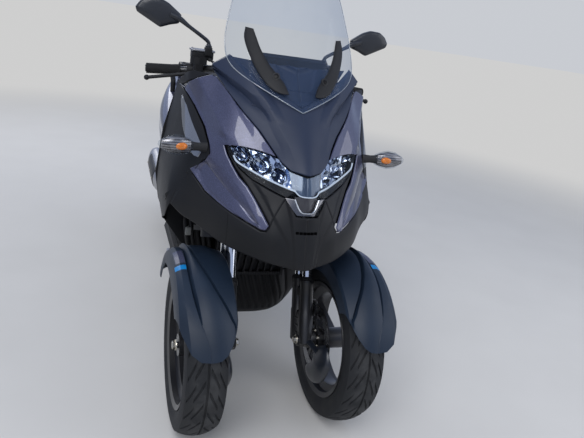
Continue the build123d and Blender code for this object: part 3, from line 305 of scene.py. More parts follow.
# one pitch of the tread: where its rows lie, and which of them are cut by the long and the short groove
within = np.array([0, 0.03, 0.20, 0.23, 0.35, 0.48, 0.51, 0.65, 0.68, 0.8, 0.88, 0.95])
cut_long = np.tile([0, 1, 1, 0, 0, 0, 0, 0, 0, 0, 0, 0], pitches)
cut_short = np.tile([0, 0, 0, 0, 0, 0, 1, 1, 0, 0, 0, 0], pitches)
turn = (np.arange(pitches)[:, None] * pitch + within * pitch).ravel()
for node, body, centre, width, radius, rim in (
        ("tyre_front_left", "front_wheel_left", (half_track, 0, front_axle_z), 120, 262, 90),
        ("tyre_front_right", "front_wheel_right", (-half_track, 0, front_axle_z), 120, 262, 90),
        ("tyre_rear", "rear_wheel", rear_axle, 140, 276, 104)):
    # across the crown the section is one arc through the two shoulders and the crown
    half = width / 2
    tread = half * 0.93
    widest = rim_seat + (radius - rim_seat) * 0.5
    shoulder = rim_seat + (radius - rim_seat) * 0.8
    rise = radius - shoulder
    arc = (tread ** 2 + rise ** 2) / (2 * rise)
    lines = np.array([0, 2.2, 3.4, 6, 9, 10, 14, 19, 24, 25, 30, 35, 40, 45, 49, 50, 53]) / 56 * half * 0.93
    across = np.concatenate([-lines[:0:-1], lines])
    crown = radius - arc + np.sqrt(arc ** 2 - across ** 2)
    wall_x = np.array([tread, half * 0.965, half, half - 1, half - 5, (half + rim / 2) / 2, rim / 2 + 1, rim / 2])
    wall_r = np.array([shoulder, shoulder - 7, widest, widest - 9, widest - 18, widest - 26, rim_seat + 3,
                       rim_seat + 0.2])
    section_x = np.concatenate([-wall_x[::-1], across, wall_x])
    section_r = np.concatenate([wall_r[::-1], crown, wall_r])
    share = np.abs(section_x) / tread
    on_crown = section_r > shoulder - 1
    long_reach = ((share > 0.14) & (share < 0.6) & on_crown).astype(float)
    short_reach = ((share > 0.6) & (share < 0.9) & on_crown).astype(float)
    centre_cut = (np.abs(section_x) < 2.6).astype(float)
    depth = groove_depth * np.maximum.reduce([long_reach[:, None] * cut_long, short_reach[:, None] * cut_short,
                                              np.broadcast_to(centre_cut[:, None], (len(section_x), len(turn)))])
    # the grid leans back towards each shoulder, so that its own lines follow the grooves
    half_pitch_right = np.where(section_x > 0, pitch / 2, 0) * ramp(share * 12)
    angle = turn[None, :] + (0.46 * ramp(share) ** 1.15 + half_pitch_right)[:, None]
    cut_r = section_r[:, None] - depth
    outer = spread(section_x[:, None], cut_r * np.cos(angle), cut_r * np.sin(angle))
    inner_x = np.array([rim / 2 - 9, -rim / 2 + 9])
    inner = spread(inner_x[:, None], liner * np.cos(angle[[-1, 0]]), liner * np.sin(angle[[-1, 0]]))
    loop = np.concatenate([outer, inner]) + np.array(centre)
    rubber = tyre_rubber("rubber_" + node, tuple(metres(centre)))
    piece = make(node + "_treaded", [sheet(loop, around=True, along=True)], rubber, body, 30)
    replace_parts(piece, node)


# Wheels. Black painted castings with paired spokes, a drilled steel disc on the inner side, a ring of
# five bolts round each hub and a rubber valve.
def moulded(name, colour, roughness, grain, worn=0.35, plain=None):
    """Painted or moulded surface: colour drifts in clouds, roughness in streaks, with a fine raised grain in metres"""
    made = Finish(name, {"Roughness": roughness, **(plain or {})})
    cloud = made.place.noise(7.0, 5.0).step(0.35, 0.7) * worn
    made.colour(cloud.mix(colour, tuple(c * 0.72 + 0.004 for c in colour)))
    streak = made.place.noise(23.0, 4.0)
    made.feed("Roughness", (streak - 0.5) * 0.16 + roughness)
    made.bump(made.place.noise(1400.0, 2.0), grain)
    return made.material


def brushed(name, colour, roughness, scale, plain=None):
    """Bare metal: fine scratches drawn out along one direction change its roughness and its height"""
    made = Finish(name, {"Metallic": 1.0, **(plain or {})})
    drawn = (made.place * scale).noise(1.0, 4.0)
    made.feed("Roughness", (drawn - 0.5) * 0.22 + roughness)
    stain = made.place.noise(14.0, 5.0).step(0.45, 0.8) * 0.3
    made.colour(stain.mix(colour, tuple(c * 0.6 for c in colour)))
    made.bump(drawn, 0.00008)
    return made.material


def dress(material, *nodes):
    """Gives CAD nodes a material"""
    for node in nodes:
        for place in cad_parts[node].material_slots:
            place.material = material


wheel_black = moulded("wheel_black", (0.012, 0.012, 0.014), 0.34, 0.00003,
                      plain={"Coat Weight": 0.3, "Coat Roughness": 0.2})
bolt_zinc = brushed("bolt_zinc", (0.50, 0.47, 0.40), 0.34, (400.0, 400.0, 400.0))
soft_rubber = moulded("soft_rubber", (0.013, 0.013, 0.014), 0.7, 0.00006)
dress(wheel_black, "wheel_front_left", "wheel_front_right", "wheel_rear")


def circle(count):
    """Angles spaced evenly once round"""
    return np.linspace(0, 2 * np.pi, count, endpoint=False)


def lathe(profile, centre, axis, turns=48, closed=False):
    """Surface of revolution: (along, radius) goes to centre + along axis + radius (cos t side + sin t other)"""
    axis = np.asarray(axis, float) / np.linalg.norm(axis)
    side = np.cross(axis, (0, 0, 1) if abs(axis[2]) < 0.9 else (0, 1, 0))
    side = side / np.linalg.norm(side)
    other = np.cross(axis, side)
    along, radius = np.asarray(profile, float).T
    t = circle(turns)
    spokes = np.cos(t)[:, None] * side + np.sin(t)[:, None] * other
    return sheet(np.asarray(centre) + along[:, None, None] * axis + radius[:, None, None] * spokes, True, closed)


def bolt(centre, axis, size):
    """Hexagon head on a round flange"""
    flange = [(0, 0), (0, size * 1.35), (size * 0.25, size * 1.3), (size * 0.3, 0)]
    head = [(0, 0), (0, size), (size * 0.85, size), (size, size * 0.86), (size, size * 0.55), (size * 0.8, 0)]
    return [lathe(flange, centre, axis, 14), lathe(head, centre, axis, 6)]


def bolts(centres, axis, size):
    """Like bolts at several centres"""
    return [part for centre in centres for part in bolt(centre, axis, size)]


brake_steel = brushed("brake_steel", (0.40, 0.40, 0.41), 0.28, (60.0, 60.0, 60.0))
track_width, bolt_circle, valve_foot = 32, 26, 158
for name, body, centre, disc_x, disc_r in (("left", "front_wheel_left", (half_track, 0, front_axle_z), -66, 116),
                                           ("right", "front_wheel_right", (-half_track, 0, front_axle_z), 66, 116),
                                           ("rear", "rear_wheel", rear_axle, -66, 108)):
    centre = np.array(centre, float)
    way = np.sign(disc_x)
    face = centre + (disc_x, 0, 0)
    track = [(-2.4, disc_r - 0.2), (-2.4, disc_r - track_width), (2.4, disc_r - track_width), (2.4, disc_r - 0.2)]
    make(f"brake_track_{name}", [lathe(track, face, (way, 0, 0), 72, True)], brake_steel, body)
    heads = [face + (way * 2.2, bolt_circle * math.cos(a), bolt_circle * math.sin(a))
             for a in np.radians(np.arange(5) * 72)]
    make(f"disc_bolts_{name}", bolts(heads, (way, 0, 0), 5.5), bolt_zinc, body)
    valve = [(0, 0), (0, 6), (-10, 5), (-24, 3.6), (-26, 4.4), (-34, 4.4), (-34, 0)]
    make(f"valve_{name}", [lathe(valve, centre + (0, 0, valve_foot), (-way * 0.5, 0, 1), 14)], soft_rubber,
         body)


# Fork legs. Chromed tubes slide in dark cast legs with rubber dust seals; a two-piston caliper, its
# clipped brake pipe and a rounded guard stand on the inner side of each wheel.
def squared(value, power):
    """Power of a sine or cosine that keeps its sign, which squares a round outline"""
    return np.sign(value) * np.abs(value) ** power


def pillow(centre, half, square=0.45, axes=np.eye(3)):
    """Rounded block: half sizes times signed powers of the sines and cosines of two angles"""
    rise = np.linspace(-np.pi / 2, np.pi / 2, 14)[:, None]
    turn = circle(22)[None, :]
    level = squared(np.cos(rise), square)
    form = spread(level * squared(np.cos(turn), square), level * squared(np.sin(turn), square),
                  squared(np.sin(rise), square))
    return sheet((form * np.asarray(half)) @ np.asarray(axes, float) + np.asarray(centre), True)


def through(points, count):
    """Smooth line through points: cubic pieces whose slope at a point is half the step between its neighbours"""
    line = np.asarray(points, float)
    line = np.concatenate([[2 * line[0] - line[1]], line, [2 * line[-1] - line[-2]]])
    where = np.linspace(0, len(points) - 1 - 1e-9, count)
    at = where.astype(int)
    f = (where - at)[:, None]
    a, b, c, d = line[at], line[at + 1], line[at + 2], line[at + 3]
    return 0.5 * (2 * b + (c - a) * f + (2 * a - 5 * b + 4 * c - d) * f ** 2 + (3 * b - a - 3 * c + d) * f ** 3)


def close_ends(rows):
    """Adds a pole before the first row and after the last, each at its row's mean"""
    first, last = (np.broadcast_to(row.mean(0), rows[:1].shape) for row in (rows[0], rows[-1]))
    return np.concatenate([first, rows, last])


def carry(path, section, upright=(0, 0, 1)):
    """Section points (sideways, up) carried along a path to path + sideways side + up top, closed at both ends"""
    path = np.asarray(path, float)
    run = np.gradient(path, axis=0)
    run = run / np.linalg.norm(run, axis=1, keepdims=True)
    side = np.cross(run, upright)
    side = side / np.linalg.norm(side, axis=1, keepdims=True)
    top = np.cross(side, run)
    section = np.broadcast_to(section, (len(path),) + np.asarray(section).shape[-2:])
    points = path[:, None] + section[..., :1] * side[:, None] + section[..., 1:] * top[:, None]
    return sheet(close_ends(points), True)


def ring(radius, count=12, flat=1.0):
    """Round section, or an oval one where flat isn't 1"""
    t = circle(count)
    return np.stack([radius * np.cos(t), radius * flat * np.sin(t)], -1)


sides = (("left", 1), ("right", -1))
lean = math.radians(20)
lean_sin, lean_cos = math.sin(lean), math.cos(lean)
kingpin_axis = np.array([0, lean_sin, lean_cos])
kingpin_frame = np.array([[1, 0, 0], [0, lean_cos, -lean_sin], [0, lean_sin, lean_cos]])
kingpin_offset, leg_x, tube_offset = 68, 128, 36


def on_kingpin(x, back, height):
    """Point at a height along the leaned kingpin line, back from it and at x across the vehicle"""
    foot = np.array([x, -kingpin_offset * lean_cos ** 2, kingpin_offset * lean_sin * lean_cos])
    return foot + back * np.array([0, lean_cos, -lean_sin]) + height * kingpin_axis


def wheel_guard(sign):
    """Teardrop round a circle of 106 mm about the axle, its width and its inward bulge both powers of the way along"""
    t = np.linspace(0, 1, 32)[:, None]
    half_width = 58 * (1 - t) ** 0.45 * ramp(t / 0.2) ** 0.5 + 0.001
    bulge = 30 * (1 - t) ** 0.35 * ramp(t / 0.3) ** 0.5
    around = circle(28)[None, :]
    reach = 106 + half_width * np.cos(around)
    angle = np.radians(22 - 112 * t)
    across = 159 - bulge * ramp(np.sin(around)) ** 0.8 + 1.2 * ramp(-np.sin(around))
    return sheet(np.stack([sign * across, -reach * np.cos(angle), front_axle_z + reach * np.sin(angle)], -1), True)


steel_grey = brushed("steel_grey", (0.42, 0.42, 0.43), 0.36, (300.0, 300.0, 60.0))
cast_dark = moulded("cast_dark", (0.020, 0.020, 0.022), 0.5, 0.0002, plain={"Metallic": 0.35})
cast_alloy = moulded("cast_alloy", (0.32, 0.32, 0.33), 0.42, 0.00016, plain={"Metallic": 0.9})
chrome = brushed("chrome", (0.78, 0.79, 0.80), 0.10, (40.0, 40.0, 400.0))
dress(cast_dark, "fork_tubes_left", "fork_tubes_right", "lean_linkage", "steering_column")
guard_blue = moulded("guard_blue", (0.008, 0.011, 0.018), 0.38, 0.00005,
                     plain={"Coat Weight": 0.25, "Coat Roughness": 0.3})
leg_black = moulded("leg_black", (0.006, 0.006, 0.007), 0.42, 0.00008,
                    plain={"Coat Weight": 0.2, "Coat Roughness": 0.25})
# profiles as (height along the kingpin line, radius), and for the hub boss and the axle (outwards, radius)
leg_profile = [(232.3, 0), (232.3, 20), (237, 24), (334, 24), (340, 22), (424, 22), (428, 24.2), (440, 24.2),
               (441, 23), (441, 17.5), (352, 17.5), (352, 0)]
tube_profile = [(436, 17.35), (597.9, 17.35), (597.9, 16), (436, 16)]
low_seal = [(441.2, 22), (443, 24.8), (447, 22), (453, 17.7), (441.2, 17.6)]
high_seal = [(588, 20), (590, 26), (597, 26.6), (597.6, 17.6)]
hub_boss = [(102, 0), (102, 18), (105, 22), (134, 26), (140, 30), (160, 30), (164, 26), (164.8, 12), (164.8, 0)]
axle_pin = [(160, 0), (160, 9.9), (294, 9.9), (294, 0)]
clip_profile = [(-7, 0), (-7, 6.4), (7, 6.4), (7, 0)]
for side, sign in sides:
    body = "fork_" + side
    out, inward = (sign, 0, 0), (-sign, 0, 0)
    tubes, seals, caps, legs = [], [], [], []
    for back in (-tube_offset, tube_offset):
        base = on_kingpin(sign * leg_x, back, 0)
        legs.append(lathe(leg_profile, base, kingpin_axis, 44))
        tubes.append(lathe(tube_profile, base, kingpin_axis, 40, True))
        seals.append(lathe(low_seal, base, kingpin_axis, 40, True))
        seals.append(lathe(high_seal, base, kingpin_axis, 36))
        caps += bolts([on_kingpin(sign * (leg_x - 20), back, height) for height in (604, 626)], inward, 5)
        caps += bolt(on_kingpin(sign * leg_x, back, 232.5), -kingpin_axis, 7)
    legs += [pillow(on_kingpin(sign * leg_x, 0, 286), (14, 42, 50), 0.3, kingpin_frame),
             pillow(on_kingpin(sign * leg_x, 0, 398), (12, 34, 17), 0.35, kingpin_frame),
             lathe(hub_boss, (0, 0, front_axle_z), out, 48), lathe(axle_pin, (0, 0, front_axle_z), out, 32)]
    legs += [pillow(on_kingpin(sign * leg_x, 0, height), (18, 30, 2.2), 0.35, kingpin_frame)
             for height in (262, 286, 310)]
    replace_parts(make(f"fork_legs_{side}", legs, leg_black, body), "fork_slider_" + side)
    make(f"fork_chrome_{side}", tubes, chrome, body)
    make(f"dust_seals_{side}", seals, soft_rubber, body)
    caps += bolt((sign * (half_track + 50), 0, front_axle_z), out, 13)
    caps += bolt((sign * 102, 0, front_axle_z), inward, 11)
    make(f"fork_bolts_{side}", caps, bolt_zinc, body)
    # the caliper's two halves clasp the disc behind the leg, tilted along the tangent of the disc
    tilt = math.radians(38)
    along = np.array([[1, 0, 0], [0, -math.sin(tilt), math.cos(tilt)], [0, math.cos(tilt), math.sin(tilt)]])
    seat = np.array([sign * 168, 84, 322])
    grip = [pillow(seat + (sign * -14.5, 0, 0), (8, 44, 24), 0.35, along),
            pillow(seat + (sign * 14, 0, 0), (5, 40, 22), 0.35, along),
            pillow(seat + 23.5 * along[2], (19, 30, 4.5), 0.3, along),
            pillow(seat + (sign * -19, 4, 2), (8, 34, 17), 0.5, along)]
    make(f"caliper_{side}", grip, cast_alloy, body)
    heads = [seat + (sign * -26.5, 0, 0) + step * along[1] for step in (-26, 26)]
    make(f"caliper_bolts_{side}", bolts(heads, inward, 5.5), bolt_zinc, body)
    pipe = through([seat + (sign * -22, 14, 22), (sign * 152, 112, 362), (sign * 158, 140, 400), (sign * 150, 176, 470),
                    (sign * 140, 196, 540), (sign * 138, 204, 588), (sign * 142, 206, 610)], 60)
    make(f"brake_pipe_{side}", [carry(pipe, ring(4.2, 10))], soft_rubber, body)
    clips = [lathe(clip_profile, pipe[at], pipe[at + 1] - pipe[at], 14) for at in (4, 22, 40, 56)]
    make(f"brake_clips_{side}", clips, steel_grey, body)
    arm = carry([(sign * 130, -8, 272), (sign * 140, -50, 268), (sign * 150, -90, 262)], ring(11, 14, 0.6))
    make(f"wheel_guard_{side}", [wheel_guard(sign), arm], guard_blue, body, 50)


# Front fenders. Matt blue-black moulded arches: between two sunk channels a raised spear starts thin at
# the top and widens to the whole tip. Each has a grey patch and a blue stripe high on its outer facet.
fender_matt = Finish("fender_matt", {"Specular IOR Level": 0.3})
spot = fender_matt.place
cloud = spot.noise(6.0, 5.0).step(0.3, 0.75)
matt = cloud.mix((0.009, 0.017, 0.032), (0.014, 0.025, 0.045))
back, high, wide = spot.part(1), spot.part(2), abs(spot.part(0))
climb = (high - 0.262).angle_from(-0.844 - back) * (180 / math.pi)
patch = (wide > 0.2865) * (wide < 0.3125) * (climb > 83.0) * (climb < 99.0)
stripe = (wide > 0.2865) * (wide < 0.3165) * (climb > 77.0) * (climb < 81.0)
matt = patch.mix(matt, (0.060, 0.066, 0.115))
fender_matt.colour(stripe.mix(matt, (0.004, 0.20, 0.52)))
fender_matt.feed("Roughness", 0.46 - patch * 0.2 - stripe * 0.14 + (spot.noise(30.0) - 0.5) * 0.12)
fender_matt.bump(spot.noise(1600.0, 2.0) + patch * 2.0 + stripe * 2.0, 0.00005)
fender_columns, fender_end, fender_wall = 22, 153, 3.4


def arch(x):
    """Radius of the fender's crown, which falls off with the square of x"""
    return 309.2 - 22 * (x / 80) ** 2


def fender_section(angle):
    """Section at an angle up from straight ahead: half widths and radii of its corners, inner lip first"""
    inner_groove = np.interp(angle, [34, 38, 44, 50, 60, 70, 80, 90, 105, 153],
                             [-84, -76, -59, -46, -20, 0, 15, 24, 29, 32])
    outer_groove = np.interp(angle, [24, 30, 42, 50, 60, 70, 80, 90, 105, 153], [4, 6, 26, 33, 41, 45, 46, 45, 44, 43])
    sunk_in, sunk_out = ramp((angle - 36) / 10), ramp((angle - 40) / 14)
    gap_in, gap_out = 2.5 + 2.5 * sunk_in, 1.5 + 3.5 * sunk_out
    near, far = np.maximum(inner_groove - gap_in, -68), outer_groove + gap_out
    spear_in, spear_out = np.maximum(inner_groove + gap_in, -62), outer_groove - gap_out
    shelf, groove, third = -71 + (near + 71) * 0.5, np.maximum(inner_groove, -65), far + (74 - far) * 0.35
    x = [-75, -76.5, -75.5, -71, shelf, near, groove]
    r = [232, 262, 280, 287, arch(shelf) - 3.5 * sunk_in - 2, arch(near) - 4.5 * sunk_in, arch(groove) - 14 * sunk_in]
    for share in (0, 0.12, 0.35, 0.6, 0.85, 1):
        x.append(spear_in + (spear_out - spear_in) * share)
        r.append(arch(x[-1]) + 3.5 * np.sin(math.pi * share) - 1.0 * (share in (0, 1)))
    x += [outer_groove, far, third, far + (74 - far) * 0.7, 76, 81, 84, 84.5, 84]
    r += [arch(outer_groove) - 14 * sunk_out, arch(far) - 5 * sunk_out, arch(far) - 4 * sunk_out - 1,
          arch(third) - 2 * sunk_out - 1, 289, 285, 272, np.interp(angle, [84, 125], [244, 262]),
          np.interp(angle, [84, 125], [214, 254])]
    return spread(*x), spread(*r)


def fender_grid(inward):
    """Rows from the rounded front edge, which climbs as a power of the distance from the tip, to the back edge"""
    run = np.linspace(0, 1, 72)
    columns = []
    for column in range(fender_columns):
        low = 25.0
        for _ in range(12):
            x, r = (part[..., column] for part in fender_section(np.array(low)))
            low = 24.5 + 20 * (abs(x - 5) / 80) ** 3.2 + 9 * max(0, 285 - r) / 70
        angle = low + (fender_end - low) * run
        x, r = (part[..., column] for part in fender_section(angle))
        x = x - inward * np.sign(x) * ramp(np.abs(x) / 60 - 0.2)
        angle, r = np.radians(angle), r - inward
        columns.append(np.stack([half_track + x, -r * np.cos(angle), front_axle_z + r * np.sin(angle)], -1))
    return np.stack(columns, 1)


fender_skin = np.concatenate([fender_grid(0), fender_grid(fender_wall)[:, ::-1]], 1)
fender_ends = [*range(fender_columns), *range(fender_columns - 1, -1, -1)]
for side, sign in sides:
    skin = fender_skin * (sign, 1, 1)
    skin = np.concatenate([skin[:1, fender_ends], skin, skin[-1:, fender_ends]])
    arms = [carry(through(np.array(line) * (sign, 1, 1), 14), ring(9, 12, 0.45))
            for line in ([(150, 52, 400), (156, 92, 426), (163, 128, 452)],
                         [(146, 112, 418), (156, 126, 452), (163, 146, 492)])]
    piece = make(f"fender_{side}_faceted", [sheet(skin, True), *arms], fender_matt.material,
                 "fork_" + side, 22)
    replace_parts(piece, "fender_" + side)
    studs = bolts([(sign * 160, 124, 470), (sign * 160, 140, 440)], (-sign, 0, 0), 4)
    make(f"fender_studs_{side}", studs, bolt_zinc, "fork_" + side)


# Front hood. One matt blue-grey moulding: a flat centre plate between two sunk creases, and on each
# side a shoulder whose ridge runs down and fades out above the headlamp. Like every front panel it
# lies on one nose form, whose half outlines at six levels are joined by smooth curves.
nose_low, nose_high, row_step, columns_per = 500, 1112, 4, 14
nose_levels = np.array([500, 600, 700, 850, 1000, 1112], float)
nose_halves = np.array([
    [(0, -206), (40, -193), (108, -156), (185, -82), (255, 20), (298, 75), (316, 120), (290, 350)],
    [(0, -205), (40, -195), (110, -160), (190, -85), (262, 20), (312, 80), (333, 130), (331, 350)],
    [(0, -182), (45, -175), (98, -158), (188, -85), (259, 20), (308, 80), (336, 130), (344, 350)],
    [(0, -138), (50, -113), (98, -75), (178, -20), (250, 55), (290, 120), (309, 200), (329, 350)],
    [(0, -9), (60, 5), (130, 35), (180, 75), (214, 120), (268, 180), (292, 225), (300, 350)],
    [(0, 82), (60, 92), (126, 120), (180, 157), (220, 186), (255, 215), (278, 245), (285, 350)]], float)


def slopes(values, gaps):
    """Slope at each point of the last axis but one: the step between its neighbours over their distance"""
    inner = (values[..., 2:, :] - values[..., :-2, :]) / (gaps[..., 1:, None] + gaps[..., :-1, None])
    first = (values[..., 1:2, :] - values[..., :1, :]) / gaps[..., :1, None]
    last = (values[..., -1:, :] - values[..., -2:-1, :]) / gaps[..., -1:, None]
    return np.concatenate([first, inner, last], -2)


def hermite(start, end, slope, slope_end, gap, f):
    """Cubic piece from start to end with the given slopes, at fraction f of the gap"""
    return ((2 * f ** 3 - 3 * f ** 2 + 1) * start + (f ** 3 - 2 * f ** 2 + f) * gap * slope
            + (3 * f ** 2 - 2 * f ** 3) * end + (f ** 3 - f ** 2) * gap * slope_end)


def outlines_at(levels, outlines, where):
    """Outlines at the levels where, each point on a smooth curve through the same point of the given outlines"""
    flat = outlines.reshape(len(levels), -1)
    slope = slopes(flat, np.diff(levels))
    at = np.clip(np.searchsorted(levels, where, side="right") - 1, 0, len(levels) - 2)
    gap = (levels[at + 1] - levels[at])[:, None]
    f = (where - levels[at])[:, None] / gap
    return hermite(flat[at], flat[at + 1], slope[at], slope[at + 1], gap, f).reshape(len(where), -1, 2)


rows = outlines_at(nose_levels, nose_halves, np.linspace(nose_low, nose_high, 154))
gaps = np.linalg.norm(np.diff(rows, axis=1), axis=2)
row_slope = slopes(rows, gaps)
row_slope[:, 0] = (1, 0)
steps_across = np.arange(0, 7.0001, 1 / columns_per)
seg = np.minimum(steps_across.astype(int), 6)
f = (steps_across - seg)[None, :, None]
nose_table = hermite(rows[:, seg], rows[:, seg + 1], row_slope[:, seg], row_slope[:, seg + 1], gaps[:, seg, None], f)


def nose_row(z):
    """Row of the table below height z, and how far z lies from it to the next row"""
    i = np.clip((np.clip(z, nose_low, nose_high) - nose_low) / row_step, 0, 152.999)
    return i.astype(int), (i % 1)[..., None]


def nose_at(s, z):
    """Point of the nose at s, from 0 on the centre line to 7 at the leg shield, and height z, between table rows"""
    s, z = np.broadcast_arrays(np.asarray(s, float), np.asarray(z, float))
    a, u = nose_row(z)
    j = np.clip(s * columns_per, 0, 97.999)
    b, v = j.astype(int), (j % 1)[..., None]
    xy = ((1 - u) * ((1 - v) * nose_table[a, b] + v * nose_table[a, b + 1])
          + u * ((1 - v) * nose_table[a + 1, b] + v * nose_table[a + 1, b + 1]))
    return np.concatenate([xy, z[..., None]], -1)


def nose_s(reach, z, axis=0):
    """The s at which the nose, at height z, is as wide as reach (axis 0) or as far back as reach (axis 1)"""
    reach, z = np.broadcast_arrays(np.asarray(reach, float), np.asarray(z, float))
    a, u = nose_row(z)
    row = np.maximum.accumulate((1 - u) * nose_table[a, :, axis] + u * nose_table[a + 1, :, axis], -1)
    row = row + np.arange(row.shape[-1]) * 1e-4
    j = np.clip((row < reach[..., None]).sum(-1), 1, 98)
    before = np.take_along_axis(row, (j - 1)[..., None], -1)[..., 0]
    after = np.take_along_axis(row, j[..., None], -1)[..., 0]
    return (j - 1 + ramp((reach - before) / (after - before))) / columns_per


def even(corners, per):
    """Points spaced evenly between matched corners, per to each span"""
    corners = np.asarray(corners, float)
    where = np.linspace(0, len(corners) - 1, per * (len(corners) - 1) + 1)
    index = np.arange(len(corners))
    return np.stack([np.interp(where, index, corners[:, k]) for k in range(2)], -1)


def front_edge(corners, per):
    """Edge from corners (x, z) seen from the front, as (s, z)"""
    line = even(corners, per)
    return np.stack([nose_s(line[:, 0], line[:, 1]), line[:, 1]], -1)


def grid_normals(points):
    """Unit normals of a grid, from the cross product of its two directions"""
    normal = np.cross(np.gradient(points, axis=0), np.gradient(points, axis=1))
    return normal / np.maximum(np.linalg.norm(normal, axis=-1, keepdims=True), 1e-9)


def outward(points):
    """Unit normals of a grid that face away from the middle of the nose"""
    normal = grid_normals(points)
    away = points - np.array([0, 260, 800])
    return normal * np.sign((normal * away).sum(-1, keepdims=True) + 1e-12)


edge_rows = np.concatenate([[0, 0.008], np.linspace(0.02, 0.98, 55), [0.992, 1]])
tuck_depth, tuck_reach = 3.0, 4.5


def panel(one, two, form=None, tucked=(0, 0, 0, 0)):
    """Half panel between two matched edges (s, z): points on the nose, moved outwards by form(x, z), and tucked in by
    a quarter round at the first edge, second edge, first end and last end that are marked 1"""
    u = edge_rows[None, :, None]
    sz = one[:, None] * (1 - u) + two[:, None] * u
    points = nose_at(sz[..., 0], sz[..., 1])
    normal = outward(points)
    height = 0.0 if form is None else form(points[..., 0], points[..., 2])
    wide = np.linalg.norm(points[:, 0] - points[:, -1], axis=1)[:, None]
    middle = points[:, len(edge_rows) // 2]
    run = np.concatenate([[0], np.cumsum(np.linalg.norm(np.diff(middle, axis=0), axis=1))])[:, None]
    from_edges = (edge_rows * wide, (1 - edge_rows) * wide, run + 0 * wide, run[-1] - run + 0 * wide)
    for marked, distance in zip(tucked, from_edges):
        height = height - marked * tuck_depth * ramp(1 - distance / tuck_reach) ** 2
    return points + normal * height[..., None]


def front_panel(one, two, per, form=None, tucked=(0, 0, 0, 0)):
    """Half panel between two lines of matched corners (x, z) seen from the front"""
    return panel(front_edge(one, per), front_edge(two, per), form, tucked)


def halves(*grids):
    """Sheets for half panels and their mirror images"""
    return [sheet(grid * (sign, 1, 1)) for grid in grids for sign in (1, -1)]


def thick(piece, depth=0.003):
    """Gives an open shell its wall, inwards"""
    wall = piece.modifiers.new("wall", "SOLIDIFY")
    wall.thickness = depth
    wall.offset = -1
    return piece


def face_out(piece):
    """Turns open shells so that their faces look away from the middle of the nose"""
    mesh = piece.data
    centres = np.empty(len(mesh.polygons) * 3)
    normals = np.empty(len(mesh.polygons) * 3)
    mesh.polygons.foreach_get("center", centres)
    mesh.polygons.foreach_get("normal", normals)
    away = centres.reshape(-1, 3) - np.array([0, -0.584, 0.8])
    work = bmesh.new()
    work.from_mesh(mesh)
    work.faces.ensure_lookup_table()
    wrong = np.nonzero((normals.reshape(-1, 3) * away).sum(1) < 0)[0]
    bmesh.ops.reverse_faces(work, faces=[work.faces[i] for i in wrong])
    work.to_mesh(mesh)
    work.free()
    return piece


def nose_shell(name, sheets, finish, edge=35, depth=0.002):
    """Open shell on the chassis that faces outwards, with its wall depth metres inwards"""
    return thick(face_out(make(name, sheets, finish, edge=edge)), depth)


def between(z, knots):
    """Value at height z of a line through (z, value) knots"""
    knots = np.array(sorted(knots), float)
    return np.interp(z, knots[:, 0], knots[:, 1])


hood_ridge = ((1112, 181), (1076, 152), (1041, 122), (1000, 89), (966, 71), (938, 57), (916, 45), (870, 30))
hood_face_top = ((1112, 232), (1076, 222), (1055, 186), (1040, 160), (1016, 124), (987, 97), (960, 84))
hood_face_low = ((1080, 236), (1070, 226), (1042, 190), (1027, 163), (1005, 134), (987, 105), (960, 88))
hood_edge = ((1112, 240), (1050, 213), (988, 166), (938, 118), (873, 68), (858, 45))


def hood_form(x, z):
    """Height across the hood: up to the ridge, gently down, steeply down the dark face, and up again to the edge"""
    ridge, top, low, rim = (between(z, line) for line in (hood_ridge, hood_face_top, hood_face_low, hood_edge))
    strength = ramp((z - 965) / 55)
    up = ramp(1 - (ridge - x) / 26) * (x < ridge)
    shoulder = (x >= ridge) * (1 - 0.25 * ramp((x - ridge) / np.maximum(top - ridge, 4)))
    drop = ramp((x - top) / np.maximum(low - top, 3))
    back = ramp((x - low) / np.maximum(rim - low, 6))
    hollow = (x < ridge) * ramp((ridge - x) / 60)
    plain = -5.0 * ramp((x - ridge) / 26) * (1 - strength) * ramp((z - 880) / 30)
    return strength * (12 * (up + shoulder) - 20 * drop + 10 * back) - 3 * strength * hollow + plain


hood_matt = moulded("hood_matt", (0.022, 0.031, 0.060), 0.44, 0.00003, plain={"Specular IOR Level": 0.26})
hood_grid = front_panel([(0, 854), (0, 880), (0, 938), (0, 988), (0, 1008), (98, 1054), (180, 1110)],
                        [(45, 859), (68, 875), (118, 940), (155, 976), (185, 1012), (213, 1050), (231, 1076)], 14,
                        hood_form, (0, 1, 1, 1))
hood = nose_shell("front_hood_creased", halves(hood_grid), hood_matt, 24, 0.003)
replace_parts(hood, "front_hood")


# Side panels. Glossy grey-violet metallic paint under clear lacquer, folded along a line that drops
# from the shoulder, with a shallow sunk face in the lower lobe.
def lacquered(name, colour, flake):
    """Metallic paint: tiny bright flakes from fine cells under an even clear coat, and a slow drift of tone"""
    made = Finish(name, {"Metallic": 0.45, "Coat Weight": 1.0, "Coat Roughness": 0.02, "Roughness": 0.34})
    sparkle = made.place.cells(1500.0, 1).part(0).step(0.72, 1.0) * 0.55
    drift = made.place.noise(4.0, 2.0).step(0.3, 0.7) * 0.25
    body = drift.mix(colour, tuple(c * 0.75 for c in colour))
    made.colour(sparkle.mix(body, flake))
    made.feed("Roughness", 0.30 + made.place.noise(60.0) * 0.1)
    made.bump(made.place.noise(900.0, 1.0), 0.00001)
    return made.material


